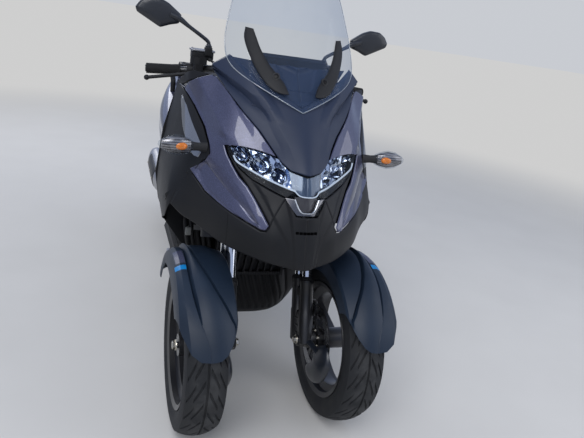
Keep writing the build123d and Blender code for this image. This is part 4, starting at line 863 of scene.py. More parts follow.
def flank_form(x, z):
    """Height across the side panel: two planes that meet in the fold, and a sunk face in the lower lobe"""
    fold = between(z, ((1050, 262), (1015, 247), (968, 223), (931, 204), (900, 190), (880, 190)))
    upper = ramp((z - 862) / 50)
    crest = 10 * np.where(x < fold, ramp(1 - (fold - x) / 60), np.clip(1 - (x - fold) / 26, -0.6, 1))
    lobe = ramp((846 - z) / 24)
    lobe_edge = between(z, ((700, 96), (716, 98), (743, 112), (776, 131), (817, 167), (839, 181), (865, 195)))
    face_near = between(z, ((712, 118), (719, 130), (754, 168), (808, 226), (830, 244)))
    face_far = between(z, ((706, 132), (716, 160), (735, 202), (764, 248), (800, 268), (822, 256)))
    slope = -7 * ramp((x - lobe_edge - 24) / np.maximum(face_near - lobe_edge - 24, 5))
    margin = np.minimum(x - face_near, face_far - x)
    tilt = 7.5 * ramp((826 - z) / 100)
    face = (5 - tilt) * ramp((margin - 1) / 4)
    return upper * crest + lobe * (slope - face + 5 * ramp((x - face_far) / 9))


panel_paint = lacquered("panel_paint", (0.043, 0.046, 0.092), (0.17, 0.18, 0.32))
flank_inner = [(104, 706), (98, 717), (112, 743), (131, 776), (147, 799), (167, 817), (181, 839), (195, 865),
               (201, 889), (176, 901), (133, 895), (78, 885), (119, 940), (142, 963), (167, 989), (191, 1020),
               (216, 1050)]
flank_outer = [(106, 704), (118, 703), (150, 713), (189, 726), (218, 738), (245, 752), (282, 796), (249, 831),
               (235, 852), (236, 866), (238, 880), (249, 919), (273, 964), (296, 998), (286, 1019), (256, 1035),
               (226, 1052)]
flank_grid = front_panel(flank_inner, flank_outer, 8, flank_form, (1, 1, 1, 1))
for side, sign in sides:
    half = [sheet(flank_grid * (sign, 1, 1))]
    flank = nose_shell(f"side_panel_{side}_folded", half, panel_paint, 30, 0.003)
    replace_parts(flank, "side_panel_" + side)


# Lower nose cover. Matt charcoal moulding below and behind the lamps: a raised beak between two folds,
# a row of six slots under the mouth, and cheeks that run back to the leg shield.
cover_matt = Finish("cover_matt", {"Specular IOR Level": 0.25})
spot = cover_matt.place
cloud = spot.noise(5.0, 5.0).step(0.35, 0.7)
wide, high = abs(spot.part(0)), spot.part(2)
beak_seam = (abs(spot.part(0) - 0.043) < 0.0007) * (high < 0.706)
cheek_seam = (abs(wide - 0.190) < 0.0007) * (high < 0.726)
seam = (beak_seam + cheek_seam) * (spot.part(1) < -0.85)
charcoal = cloud.mix((0.0070, 0.0075, 0.0088), (0.0105, 0.0105, 0.0115))
cover_matt.colour(seam.mix(charcoal, (0.002, 0.002, 0.002)))
cover_matt.feed("Roughness", 0.46 + (spot.noise(26.0) - 0.5) * 0.12)
cover_matt.bump(spot.noise(1500.0, 2.0) * 0.05 - seam * 0.5, 0.0015)
# height of the chin at each distance behind the front axle
chin_back = [-320, -205, -60, 60, 110, 180, 260, 350]
chin_height = [560, 611, 630, 660, 682, 674, 616, 530]


def sunk(depth):
    """Form of a panel that lies depth below the nose all over"""
    return lambda x, z: -depth + 0 * x


def chin_edge(s_corners, per):
    """Lower edge as (s, z): the height of the chin line at the depth that the nose has there, found in a few rounds"""
    s = even(np.stack([s_corners, s_corners], -1), per)[:, 0]
    z = 620 + 0 * s
    for _ in range(6):
        z = np.interp(nose_at(s, z)[:, 1], chin_back, chin_height)
    return np.stack([s, z], -1)


def cover_form(x, z):
    """Height across the cover: the raised beak, a step down at the fold, and a bow over the cheek"""
    beak = between(z, ((620, 30), (680, 36), (742, 47), (793, 60)))
    fold = between(z, ((620, 42), (680, 50), (737, 88), (780, 110), (818, 138)))
    raised = ramp((beak - x) / 9) * ramp((800 - z) / 20)
    step = ramp((fold - x) / 7)
    bow = ramp(1 - np.abs(x - 262) / 90) * ramp((760 - z) / 60)
    return 5.0 * raised + 3.0 * step - 5.0 + 3.0 * bow


per = 6
front_top = [(0, 750), (30, 750), (45, 772), (58, 790), (72, 767), (86, 741), (96, 716), (104, 702), (118, 700),
             (150, 711), (189, 724), (218, 736), (247, 750), (285, 795)]
front_low = [0, 0.35, 0.6, 0.8, 1.1, 1.5, 1.9, 2.2, 2.5, 3.0, 3.6, 4.2, 4.8, 5.5]
lower_front = panel(front_edge(front_top, per), chin_edge(front_low, per), cover_form, (1, 1, 0, 0))
wedge = front_panel([(57, 791), (88, 800), (134, 816), (166, 836), (188, 864), (200, 888)],
                    [(96, 716), (124, 765), (149, 802), (178, 837), (193, 864), (200, 888)], per,
                    cover_form, (1, 1, 0, 0))
side_top = front_edge([(285, 795), (251, 832), (237, 852), (239, 873), (252, 919), (275, 963), (299, 999), (288, 1021),
                       (258, 1038), (229, 1054)], per)
rear_line = even([(350, 530), (350, 650), (350, 780), (350, 900), (350, 1000), (290, 1023), (240, 1042),
                  (212, 1052)], per)
rear_edge = np.stack([nose_s(rear_line[:, 0], rear_line[:, 1], 1), rear_line[:, 1]], -1)
side_low = np.concatenate([chin_edge([5.5, 6.2, 7.0], per)[:-1], rear_edge])
lower_side = panel(side_top, side_low, cover_form, (1, 0, 0, 0))
cover_sheets = halves(lower_front, wedge, lower_side)
cover = nose_shell("nose_cover_folded", cover_sheets, cover_matt.material, 26, 0.003)
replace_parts(cover, "nose_cover")
cover_slot_shade = moulded("cover_slot_shade", (0.0012, 0.0012, 0.0014), 0.9, 0.00002, plain={"Specular IOR Level": 0.0})
# the slots are flat black patches without gloss on the cover: painted shade standing in for the dark openings
slots = []
for x in np.linspace(-25.5, 25.5, 6):
    foot, peak = (nose_at(nose_s(np.array([abs(x)]), np.array([z])), np.array([z]))[0] for z in (705.0, 714.0))
    rise = (peak - foot) / np.linalg.norm(peak - foot)
    out = np.array([0, -rise[2], rise[1]])
    centre = (foot + peak) / 2 * (0, 1, 1) + (x, 0, 0) + 3.1 * out
    slots.append(pillow(centre, (4.6, 0.9, 3.6), 0.3, np.stack([(1, 0, 0), out, rise])))
make("cover_slots", slots, cover_slot_shade)
# a light glossy inset beside each indicator, between two lines that part like a leaf
beside = front_edge([(262, 832), (250, 850), (246, 872), (250, 895), (258, 925), (270, 955), (279, 968)], 8)
share = np.linspace(0, 1, len(beside))
inset_near = beside + np.stack([0.05 + 0.75 * share ** 1.2, 0 * share], -1)
inset_far = inset_near + np.stack([0.14 + 0.95 * np.sin(math.pi * share ** 0.9) ** 0.8, 8 * share], -1)
inset_grid = panel(inset_near, inset_far, sunk(3.2), (1, 1, 1, 1))
inset_grey = moulded("inset_grey", (0.26, 0.27, 0.29), 0.16, 0.00001, plain={"Metallic": 0.75, "Coat Weight": 0.6})
nose_shell("cover_insets", halves(inset_grid), inset_grey, 26)


# Dash cowl. The dark moulding behind the windscreen, sunk below the hood's edge, and the deck round
# the steering column that carries the instruments.
def cowl_form(x, z):
    """Sunk below the hood, with a raised V across it and a shield-shaped face below the V"""
    vee = between(x, ((0, 1102), (66, 1122), (120, 1150)))
    band = ramp(1 - np.abs(z - vee) / 8)
    shield = ramp((between(z, ((1050, 30), (1060, 42), (1112, 64))) - x) / 4) * (z > 1052) * (z < vee)
    return -2.5 - 6 * ramp((z - 1016) / 10) + 5 * band - 4 * shield


cowl_front = front_panel([(0, 1010), (60, 1036), (98, 1056), (140, 1080), (178, 1109)],
                         [(0, 1112), (60, 1112), (98, 1112), (140, 1112), (180, 1112)], 10, cowl_form)
deck_height, column_y, column_hole, shield_y = 998, 296, 42, 346
around = np.linspace(0, 7, 40)
rim = nose_at(around, deck_height + 0 * around)
rim[:, 0] -= 5
rim[:, 1] = np.clip(rim[:, 1] + 5, None, shield_y)
turn = np.pi * around / 7
hole = np.stack([column_hole * np.sin(turn), column_y - column_hole * np.cos(turn), deck_height + 0 * turn], -1)
u = np.linspace(0, 1, 10)[None, :, None]
deck = hole[:, None] * (1 - u) + rim[:, None] * u
cowl = nose_shell("dash_cowl_curved", halves(cowl_front, deck), hood_matt, 30, 0.003)
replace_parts(cowl, "dash_cowl")


# Headlamps. One clear V-shaped lens over chromed bowls, a white light bar along its lower edge, and
# a chrome frame round the dark mouth under the hood's tip.
def clear_plastic(name, tint, base_share, edge_share):
    """Clear sheet: light passes straight through, and a glossy coat shows more at a slant"""
    made = bpy.data.materials.new(name)
    made.use_nodes = True
    tree = made.node_tree
    gloss = tree.nodes["Principled BSDF"]
    gloss.inputs["Base Color"].default_value = (*tint, 1)
    gloss.inputs["Roughness"].default_value = 0.03
    start = Shade(tree, tree.nodes.new("ShaderNodeTexCoord").outputs["Object"])
    slant = start.node("LayerWeight", None, {"Blend": 0.35}, 1)
    dust = start.noise(18.0, 6.0).step(0.5, 0.9) * 0.03
    share = slant * edge_share + base_share + dust
    see = start.node("BsdfTransparent", None, {"Color": (0.94, 0.96, 0.98, 1)})
    both = start.node("MixShader", None, {0: share, 1: see})
    tree.links.new(gloss.outputs["BSDF"], both.socket.node.inputs[2])
    tree.links.new(both.socket, tree.nodes["Material Output"].inputs["Surface"])
    return made


def bowl_form(x, z):
    """Depth of the bowls: three dishes whose depth is a power of the distance from their rims, joined by a flat"""
    depth = 9 + 0 * x
    for cx, cz, r in ((162, 874, 21), (118, 860, 25), (76, 842, 18)):
        away = ((x - cx) ** 2 + (z - cz) ** 2) / r ** 2
        depth = np.maximum(depth, 12 + 26 * ramp(1 - away) ** 0.7)
    return -depth


def tip_form(x, z):
    """Depth behind the hood's tip, deepest on the centre line"""
    return -9 - 5 * ramp(1 - x / 40)


def strip_on_nose(corners, width, depth, behind):
    """Flat bar carried along corners (x, z) on the nose, behind its surface, and its mirror image"""
    line = through(corners, 60)
    points = nose_at(nose_s(line[:, 0], line[:, 1]), line[:, 1])
    points[:, 1] += behind
    t = circle(12)
    section = np.stack([squared(np.cos(t), 0.5) * depth, squared(np.sin(t), 0.5) * width], -1)
    return [carry(points * (sign, 1, 1), section) for sign in (1, -1)]


lens_clear = clear_plastic("lens_clear", (0.10, 0.12, 0.15), 0.03, 0.24)
lens_low = [(0, 753), (30, 753), (44, 775), (57, 794), (88, 803), (134, 819), (166, 839), (188, 867), (200, 889)]
lens_high = [(0, 852), (25, 854), (45, 857), (66, 871), (76, 882), (105, 887), (133, 892), (176, 898), (200, 889)]
lens_grid = front_panel(lens_low, lens_high, 10, None, (1, 1, 0, 1))
lens = face_out(make("headlamp_lens_clear", halves(lens_grid), lens_clear, edge=40))
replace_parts(lens, "headlamp_lens")

reflector = Finish("lamp_reflector", {"Metallic": 1.0, "Roughness": 0.09})
facet = (reflector.place * (1.0, 0.3, 1.0)).cells(95.0, 1)
flute = (reflector.place * (1.0, 0.5, 0.28)).cells(150.0, 1)
# cells of bright silver and dark blue in the chrome's colour are painted glints and painted reflections of its facets
painted_glints = (flute.part(0) * 0.6 + facet.part(1) * 0.4).step(0.34, 0.66)
reflector.colour(painted_glints.mix((0.020, 0.034, 0.075), (0.80, 0.86, 0.95)))
reflector.bump(flute.part(2), 0.0015)
bowl_low = [(44, 812), (60, 818), (80, 822), (104, 827), (134, 838), (160, 848), (176, 863), (186, 872), (196, 887)]
bowl_high = [(48, 857), (56, 863), (68, 872), (76, 882), (105, 887), (133, 892), (158, 896), (176, 898), (200, 889)]
bowl_grid = front_panel(bowl_low, bowl_high, 14, bowl_form)
bowls = face_out(make("headlamp_bowls", halves(bowl_grid), reflector.material, edge=50))
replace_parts(bowls, "headlamp_housing")

tip = Finish("lamp_tip", {"Roughness": 0.16, "Coat Weight": 1.0, "Metallic": 0.35})
fluting = (tip.place.part(0) * 260.0).sine() * 0.5 + 0.5
tip_tone = fluting * 0.35 + tip.place.noise(30.0) * 0.3
tip.colour(tip_tone.mix((0.030, 0.050, 0.090), (0.10, 0.145, 0.21)))
tip_grid = front_panel([(0, 803), (24, 804), (33, 812), (44, 813)],
                       [(0, 852), (25, 854), (45, 857), (52, 860)], 10, tip_form)
nose_shell("headlamp_tip", halves(tip_grid), tip.material)
light_bar = Finish("light_bar", {"Roughness": 0.2, "Emission Strength": 0.18})
glow = light_bar.place.noise(60.0).mix((0.50, 0.58, 0.70), (0.66, 0.72, 0.80))
light_bar.feed("Emission Color", glow)
light_bar.colour(glow)
bar_line = [(178, 864), (169, 851), (137, 838), (104, 827), (70, 819), (33, 812)]
tip_line = [(34, 812), (28, 806), (20, 802), (0, 801)]
mouth_line = [(34, 792), (28, 779), (22, 768), (14, 761), (0, 760)]
make("headlamp_light_bar", strip_on_nose(bar_line, 2.3, 2.0, 4.0), light_bar.material)
make("headlamp_tip_edge", strip_on_nose(tip_line, 1.3, 1.6, 4.0), light_bar.material)
make("headlamp_mouth_frame", strip_on_nose(mouth_line, 1.6, 2.0, 5.0), chrome)

dark_chrome = brushed("dark_chrome", (0.16, 0.15, 0.15), 0.2, 30.0, plain={"Coat Weight": 0.8})
collar_grid = front_panel([(0, 754), (28, 753), (43, 768), (52, 781), (60, 793)],
                          [(0, 762), (14, 762), (22, 769), (28, 779), (35, 793)], 8, sunk(7))
nose_shell("headlamp_mouth_collar", halves(collar_grid), dark_chrome)
smoked = moulded("smoked_panel", (0.055, 0.050, 0.052), 0.22, 0.0001)
mouth_grid = front_panel([(0, 760), (16, 761), (26, 774), (37, 794)],
                         [(0, 801), (14, 801), (26, 801), (40, 797)], 8, sunk(13))
nose_shell("headlamp_mouth_panel", halves(mouth_grid), smoked)
gloss_black = moulded("gloss_black", (0.004, 0.004, 0.005), 0.30, 0.00002, plain={"Specular IOR Level": 0.15})
bezel_grid = front_panel([(57, 794), (88, 803), (134, 819), (166, 839), (188, 867), (200, 889)],
                         [(34, 808), (76, 818), (110, 827), (160, 847), (178, 867), (194, 887)], 10, sunk(7))
nose_shell("headlamp_bezel", halves(bezel_grid), gloss_black)


# Windscreen and its two trims. A clear curved sheet with a polished edge, its glint painted as a grey
# rim, held by black trims that carry round screws on rubber collars.
screen_clear = clear_plastic("screen_clear", (0.10, 0.16, 0.30), 0.03, 0.30)
screen_levels = np.array([990, 1230, 1476], float)
screen_half, screen_front, screen_side = (np.polyfit(screen_levels, values, 2)
                                          for values in ((175, 190, 120), (-19, 143, 309), (53, 225, 345)))


def screen_at(x, z, behind=0.0):
    """Point of the screen: at each height an arc through its two sides and its middle, all three quadratic in height"""
    z = np.asarray(z, float)
    half, front = np.polyval(screen_half, z), np.polyval(screen_front, z)
    deep = np.polyval(screen_side, z) - front
    arc = (half ** 2 + deep ** 2) / (2 * deep)
    y = front + arc - np.sqrt(np.maximum(arc ** 2 - np.asarray(x, float) ** 2, 1)) + behind
    return spread(x, y, z)


over_x = np.concatenate([np.linspace(0, 180, 37), 180 + 16 * np.sin(np.linspace(0, np.pi / 2, 9)[1:])])
foot_z = np.interp(over_x, [0, 75, 148, 184, 193, 196], [996, 1029, 1063, 1090, 1110, 1125])
head_z = np.interp(over_x, [0, 46, 70, 92, 112, 128, 166, 192, 195, 196],
                   [1466, 1466, 1462, 1453, 1430, 1400, 1290, 1185, 1150, 1125])
u = np.linspace(0, 1, 60)[None, :]
pane = screen_at(over_x[:, None] + 0 * u, foot_z[:, None] * (1 - u) + head_z[:, None] * u)
pane = np.concatenate([pane[:0:-1] * (-1, 1, 1), pane])
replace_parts(nose_shell("windscreen_clear", [sheet(pane)], screen_clear, 60, 0.0035), "windscreen")
rim_half = through([(0, 996), (75, 1029), (148, 1063), (184, 1090), (196, 1125), (192, 1185), (166, 1290), (128, 1400),
                    (92, 1453), (46, 1466), (0, 1466)], 150)
edge_painted_glint = Finish("polished_edge_painted_glint", {"Roughness": 0.12, "Coat Weight": 1.0})
# the rim's grey, partly see-through tone is a painted glint of light caught by the polished edge
edge_painted_glint.colour(edge_painted_glint.place.noise(20.0).mix((0.30, 0.33, 0.37), (0.42, 0.45, 0.49)))
edge_painted_glint.feed("Alpha", edge_painted_glint.place.noise(9.0).step(0.3, 0.7) * 0.25 + 0.55)
rim_line = screen_at(rim_half[:, 0], rim_half[:, 1], 2.0)
rims = [carry(rim_line * (sign, 1, 1), ring(1.5, 8), (0, 1, 0.2)) for sign in (1, -1)]
make("windscreen_edge", rims, edge_painted_glint.material)
trim_outer = through([(146, 1193), (150, 1164), (140, 1127), (119, 1085), (91, 1052), (64, 1039), (40, 1039)], 60)
trim_inner = through([(126, 1191), (119, 1170), (108, 1140), (88, 1106), (66, 1082), (50, 1064), (39, 1041)], 60)
u = np.array([0, 0, 0.06, 0.25, 0.5, 0.75, 0.94, 1, 1])[None, :, None]
trim_rise = np.array([1, 3.4, 5.0, 5.6, 5.8, 5.6, 5.0, 3.4, 1])[None, :]
trim_line = trim_outer[:, None] * (1 - u) + trim_inner[:, None] * u
trim_points = screen_at(trim_line[..., 0], trim_line[..., 1])
trim_points[..., 1] -= trim_rise
black_plastic = moulded("black_plastic", (0.009, 0.009, 0.010), 0.55, 0.00010, plain={"Specular IOR Level": 0.3})
trims = nose_shell("screen_trims_curved", halves(trim_points), black_plastic, 40, 0.001)
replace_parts(trims, "screen_trims")
collar_profile = [(-2, 0), (-2, 11), (2.2, 10.6), (2.8, 9), (2.8, 0)]
screw_profile = [(2.6, 0), (2.6, 7.4), (4.2, 6.8), (5.0, 4), (5.0, 3), (3.6, 2.6), (3.6, 0)]
screws, collars = [], []
for sign in (1, -1):
    facing = np.array([sign * 0.30, -0.82, 0.48])
    at = (screen_at(72, 1079) - (0, 5, 0)) * (sign, 1, 1)
    collars.append(lathe(collar_profile, at, facing, 32))
    screws.append(lathe(screw_profile, at, facing, 28))
make("screen_collars", collars, soft_rubber)
make("screen_screws", screws, gloss_black)


# Turn indicators. Clear teardrop lenses on flexible black stalks, each with an orange bulb before a
# silvered reflector.
amber = Finish("amber_plastic", {"Roughness": 0.12, "Coat Weight": 0.6})
amber.colour(amber.place.noise(300.0).mix((0.75, 0.16, 0.01), (0.95, 0.30, 0.03)))
amber.bump(amber.place.node("TexChecker", None, {"Vector": amber.place, "Scale": 420.0}, 1), 0.0003)
lamp_grey = Finish("indicator_reflector", {"Metallic": 0.7, "Roughness": 0.25})
spot = lamp_grey.place
silvering = (spot.part(2) * 900.0).sine() * 0.3 + spot.noise(40.0)
lamp_grey.colour(silvering.mix((0.06, 0.055, 0.055), (0.42, 0.40, 0.40)))
stalk_reach = [4, 16, 30, 44, 52]
stalk_ovals = np.array([ring(14, 20, 0.62), ring(13, 20, 0.62), ring(11.5, 20, 0.7), ring(12.5, 20, 0.72),
                        ring(14.5, 20, 0.75)])[:, :, ::-1]
lens_reach = [46, 52, 62, 74, 86, 98, 110, 122, 132, 139.5]
lens_tall = np.interp(lens_reach, [46, 62, 84, 110, 132, 139.5], [16.5, 23, 29.5, 25, 13, 5])
t = circle(28)
lens_shell = np.stack([lens_tall[:, None] * 0.70 * np.cos(t), lens_tall[:, None] * np.sin(t)], -1)


def stations(distances, sign):
    """Points at distances along the indicator's own line, out from the cover"""
    start, end = np.array([236, 60, 864.0]), np.array([376, 42, 871.0])
    along = (end - start) / np.linalg.norm(end - start)
    return (start + along * np.array(distances, float)[:, None]) * (sign, 1, 1)


for side, sign in sides:
    stalk = make(f"indicator_{side}_stalk", [carry(stations(stalk_reach, sign), stalk_ovals)], soft_rubber)
    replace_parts(stalk, "indicator_" + side)
    make(f"indicator_{side}_lens", [carry(stations(lens_reach, sign), lens_shell)], lens_clear)
    # the reflector is the rear half of the lens, drawn in, and nearly flat in front
    back_shell = lens_shell * 0.86
    back_shell[..., 0] *= np.where(back_shell[..., 0] * sign > 0, 0.9, 0.05)
    make(f"indicator_{side}_reflector", [carry(stations(lens_reach[1:-1], sign), back_shell[1:-1])],
         lamp_grey.material)
    bulb = pillow(stations([80], sign)[0] + (0, -10, 0), (19, 8.5, 11), 0.9)
    make(f"indicator_{side}_bulb", [bulb], amber.material)


# Handlebar. A black bar with ribbed rubber grips, ball-ended levers, fluid reservoirs with screwed
# caps, switch blocks and hoses that drop behind the cowl.
bar_black = moulded("bar_black", (0.014, 0.014, 0.015), 0.36, 0.00003,
                    plain={"Coat Weight": 0.35, "Coat Roughness": 0.15})
dress(bar_black, "handlebar", "tie_rod_left", "tie_rod_right")
dress(black_plastic, "control_left", "control_right")
grip_rubber = Finish("grip_rubber", {"Roughness": 0.8, "Specular IOR Level": 0.3})
grip_tone = grip_rubber.place.noise(40.0)
grip_rubber.colour(grip_tone.mix((0.011, 0.011, 0.012), (0.020, 0.020, 0.020)))
grip_rubber.bump(grip_rubber.place.cells(330.0), 0.0006)
# profiles along the grip as (distance from its inner end, radius)
grip_profile = [(12.5, 11.3), (12.5, 21), (14, 21.4), (17, 21.4), (18, 20.4), (18.4, 16.4)]
for rib in np.arange(20, 118, 3.5):
    grip_profile += [(rib, 15.6), (rib + 0.8, 16.4), (rib + 2.4, 16.4), (rib + 3.2, 15.6)]
grip_profile += [(119.6, 16.4), (120.4, 15.4), (120.6, 11.3)]
bar_weight = [(120.8, 0), (120.8, 10.8), (121.8, 11.2), (122.4, 9), (122.4, 0)]
hose_end = [(-6, 0), (-6, 6), (8, 6), (12, 4), (12, 0)]
for side, sign in sides:
    start, end = np.array([266, 439, 1024.0]) * (sign, 1, 1), np.array([388, 452, 1015.0]) * (sign, 1, 1)
    along = (end - start) / np.linalg.norm(end - start)
    grip = make(f"grip_{side}_ribbed", [lathe(grip_profile, start, along, 40, True)], grip_rubber.material,
                "steering", 60)
    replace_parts(grip, "grip_" + side)
    make(f"bar_end_{side}", [lathe(bar_weight, start, along, 28)], steel_grey, "steering")
    pot = np.array([216, 420, 1084.0]) * (sign, 1, 1)
    pot_parts = [pillow(pot + (0, 0, -4), (35, 23, 13), 0.22), pillow((sign * 200, 402, 1094), (12, 12, 15), 0.3)]
    make(f"reservoir_{side}", pot_parts, black_plastic, "steering")
    make(f"reservoir_cap_{side}", [pillow(pot + (0, 0, 10.5), (39, 26, 3.4), 0.18)],
         cast_alloy if sign < 0 else cast_dark, "steering")
    cap_screws = [pot + (x, y, 13.4) for x in (-30, 30) for y in (-17, 17)]
    make(f"reservoir_screws_{side}", bolts(cap_screws, (0, 0, 1), 2.4), bolt_zinc, "steering")
    base = np.array([236, 408, 1040.0]) * (sign, 1, 1)
    keys = [pillow(base + (0, 18, 4), (9, 3, 4), 0.5), pillow(base + (sign * 10, 24, -8), (6, 4, 5), 0.6),
            pillow(base + (sign * -9, 22, -6), (5, 3, 4), 0.7)]
    make(f"switch_keys_{side}", keys, grip_rubber.material, "steering")
    hose = through([pot + (sign * -18, -14, -12), pot + (sign * -34, -34, -20), pot + (sign * -66, -52, -34),
                    np.array([sign * 110, 330, 1035]), np.array([sign * 62, 322, 1030])], 50)
    make(f"bar_hose_{side}", [carry(hose, ring(3.6, 10)), lathe(hose_end, hose[1], hose[3] - hose[1], 16)],
         soft_rubber, "steering")
clamp_bolts = [(x, 318.5 + y, 1062 + 20) for x in (-22, 22) for y in (-14, 14)]
make("bar_clamp_bolts", bolts(clamp_bolts, (0, 0.34, 0.94), 4.5), bolt_zinc, "steering")


# Mirrors. Black six-sided shells whose edges are rounded over, with silvered glass facing the rider,
# on bent stems that end in a lock nut.
mirror_glass = Finish("mirror_glass", {"Metallic": 1.0, "Roughness": 0.03})
haze = mirror_glass.place.noise(12.0).mix((0.74, 0.77, 0.80), (0.82, 0.85, 0.87))
mirror_glass.colour(haze)
mirror_shell = moulded("mirror_shell", (0.012, 0.014, 0.019), 0.40, 0.00006, plain={"Coat Weight": 0.15})
corners = np.array([(297, 1166), (290, 1192), (332, 1222), (360, 1233), (394, 1232), (417, 1218), (431, 1198),
                    (426, 1184), (354, 1147), (324, 1159)], float)
before, after = np.roll(corners, 1, 0) - corners, np.roll(corners, -1, 0) - corners
before /= np.linalg.norm(before, axis=1, keepdims=True)
after /= np.linalg.norm(after, axis=1, keepdims=True)
mirror_outline = np.stack([corners + before * 7, corners + before * 3 + after * 0.6, corners + (before + after) * 1.1,
                           corners + before * 0.6 + after * 3, corners + after * 7], 1).reshape(-1, 2)
shell_levels = [(400.5, 0.35), (401.0, 0.62), (402.2, 0.84), (404.5, 0.93), (408, 0.985), (414, 1.0), (421, 0.99),
                (423.6, 0.955), (423.8, 0.93)]
glass_levels = [(423.0, 0.94), (423.4, 0.92), (423.2, 0.5), (423.1, 0.001)]
stem_line = through([(200, 402, 1084), (200, 402, 1112), (203, 402, 1124), (222, 402, 1137), (268, 403, 1163),
                     (296, 404, 1180), (326, 406, 1190)], 60)
stem_sections = np.array([ring(6.0 + 3.5 * ramp((k - 38) / 14), 16) for k in range(60)])
lock_nut = [(0, 0), (0, 10.5), (4, 10.5), (6, 8), (9, 7.4), (10, 6), (10, 0)]


def mirror_rows(levels):
    """Outline drawn in towards its middle by k, y behind the front axle, for each (y, k)"""
    middle = mirror_outline.mean(0)
    drawn_in = [(y, middle + (mirror_outline - middle) * k) for y, k in levels]
    return np.array([np.column_stack([line[:, 0], np.full(len(line), y), line[:, 1]]) for y, line in drawn_in])


for side, sign in sides:
    rows = mirror_rows(shell_levels)
    first = np.broadcast_to(rows[0].mean(0), rows[:1].shape)
    shell = np.concatenate([first, rows]) * (sign, 1, 1)
    parts = [sheet(shell, True), carry(stem_line * (sign, 1, 1), stem_sections, (0, 1, 0)),
             lathe(lock_nut, (sign * 200, 402, 1108), (0, 0, 1), 24)]
    piece = make(f"mirror_{side}_shell", parts, mirror_shell, "steering", 38)
    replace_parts(piece, "mirror_" + side)
    glass = sheet(mirror_rows(glass_levels) * (sign, 1, 1), True)
    make(f"mirror_{side}_glass", [glass], mirror_glass.material, "steering")


# Instruments and leg shield. A hooded pod with one colour display between two round dials, a key
# barrel, two lidded pockets and a vented centre panel.
dress(black_plastic, "instrument_panel", "leg_shield", "storage_tub", "seat_pan", "riser_panel", "plate_carrier",
      "floorboard", "side_skirt_left", "side_skirt_right")
face_at = np.array([0, 201, 1103.0])
face_up = np.array([0, 54, 86]) / math.hypot(54, 86)
face_back = np.array([0, 86, -54]) / math.hypot(54, 86)
dial_apart, dial_ticks = 58, 24
dial_face = Finish("dial_face", {"Roughness": 0.25, "Coat Weight": 1.0})
spot = dial_face.place - tuple(metres(face_at))
across = spot.part(0)
along = spot.node("VectorMath", {"operation": "DOT_PRODUCT"}, {0: spot, 1: tuple(face_back)}, 1)
markings = []
for dial_x in (-dial_apart / 1000, dial_apart / 1000):
    from_x = across - dial_x
    away = (from_x * from_x + along * along) ** 0.5
    turn = from_x.angle_from(along) * (dial_ticks / (2 * math.pi))
    tick = ((turn + 40.0).fraction() < 0.22) * (away > 0.0225) * (away < 0.0275)
    needle = (abs(from_x + along * 0.6) < 0.0011) * (away < 0.021) * (from_x < 0.002)
    markings.append(tick + needle)
display = (abs(across) < 0.024) * (abs(along) < 0.022)
bars = ((along * 160.0).fraction() < 0.35) * display * (abs(across + 0.004) < 0.014)
dial_colour = (markings[0] + markings[1]).mix((0.012, 0.012, 0.014), (0.75, 0.77, 0.80))
display_colour = display.mix(dial_colour, (0.05, 0.10, 0.13))
dial_face.colour(bars.mix(display_colour, (0.35, 0.60, 0.62)))


def pod_ring(scale, lift):
    """Squared round outline on the pod's face, scaled and lifted off it"""
    t = circle(56)[:, None]
    x, y = 86 * squared(np.cos(t), 0.45), 39 * squared(np.sin(t), 0.45)
    return face_at + x * scale * np.array([1, 0, 0]) + y * scale * face_back + lift * face_up


def lid_ring(sign, scale, y):
    """Squared round outline of a pocket's lid, scaled, y behind the front axle"""
    t = circle(64)
    x, z = squared(np.cos(t), 0.32) * 76 * scale, squared(np.sin(t), 0.32) * 92 * scale
    return np.column_stack([sign * 190 + x, np.full(64, y), 806 + z])


face_rows = np.array([pod_ring(scale, lift) for scale, lift in ((1, -5.6), (0.99, -4.8), (0.5, -4.8), (0.001, -4.8))])
make("instrument_face", [sheet(face_rows, True)], dial_face.material)
dial_ring = [(-4.6, 29), (-4.6, 31), (-1.5, 31.6), (-0.6, 30.6), (-3.5, 29)]
dial_rings = [lathe(dial_ring, face_at + (x, 0, 0), face_up, 48, True) for x in (-dial_apart, dial_apart)]
make("dial_rings", dial_rings, chrome)
barrel = [(0, 0), (0, 17), (6, 17), (8, 14), (8, 9), (5, 8.6), (5, 0)]
key_slot = pillow((120, 362.5, 930), (1.4, 1.2, 6), 0.4)
make("key_barrel", [lathe(barrel, (120, 357, 930), (0, 1, 0), 36), key_slot], steel_grey)
lid_levels = ((1.0, 384.5), (1.0, 388), (0.965, 390.6), (0.7, 392.4), (0.001, 393.4))
lids, latches = [], []
for sign in (1, -1):
    lids.append(sheet(np.array([lid_ring(sign, scale, y) for scale, y in lid_levels]), True))
    latches += [pillow((sign * 190, 393, 872), (22, 4.5, 7), 0.4), pillow((sign * 190, 395.5, 866), (18, 3, 3.5), 0.5)]
make("glovebox_lids", lids, moulded("lid_plastic", (0.024, 0.024, 0.026), 0.5, 0.00035))
make("glovebox_latches", latches, bar_black)
vents = [pillow((0, 407 - abs(k) * 0.3, 700 + 16 * k), (44, 3.2, 4.2), 0.45) for k in range(-4, 5)]
make("centre_vents", vents, bar_black)
knob = [(0, 0), (0, 20), (3, 21), (9, 20), (11, 15), (11, 0)]
make("start_knob", [lathe(knob, (0, 405, 842), (0, 1, 0), 40), pillow((0, 417, 842), (3, 4, 15), 0.4)], black_plastic)


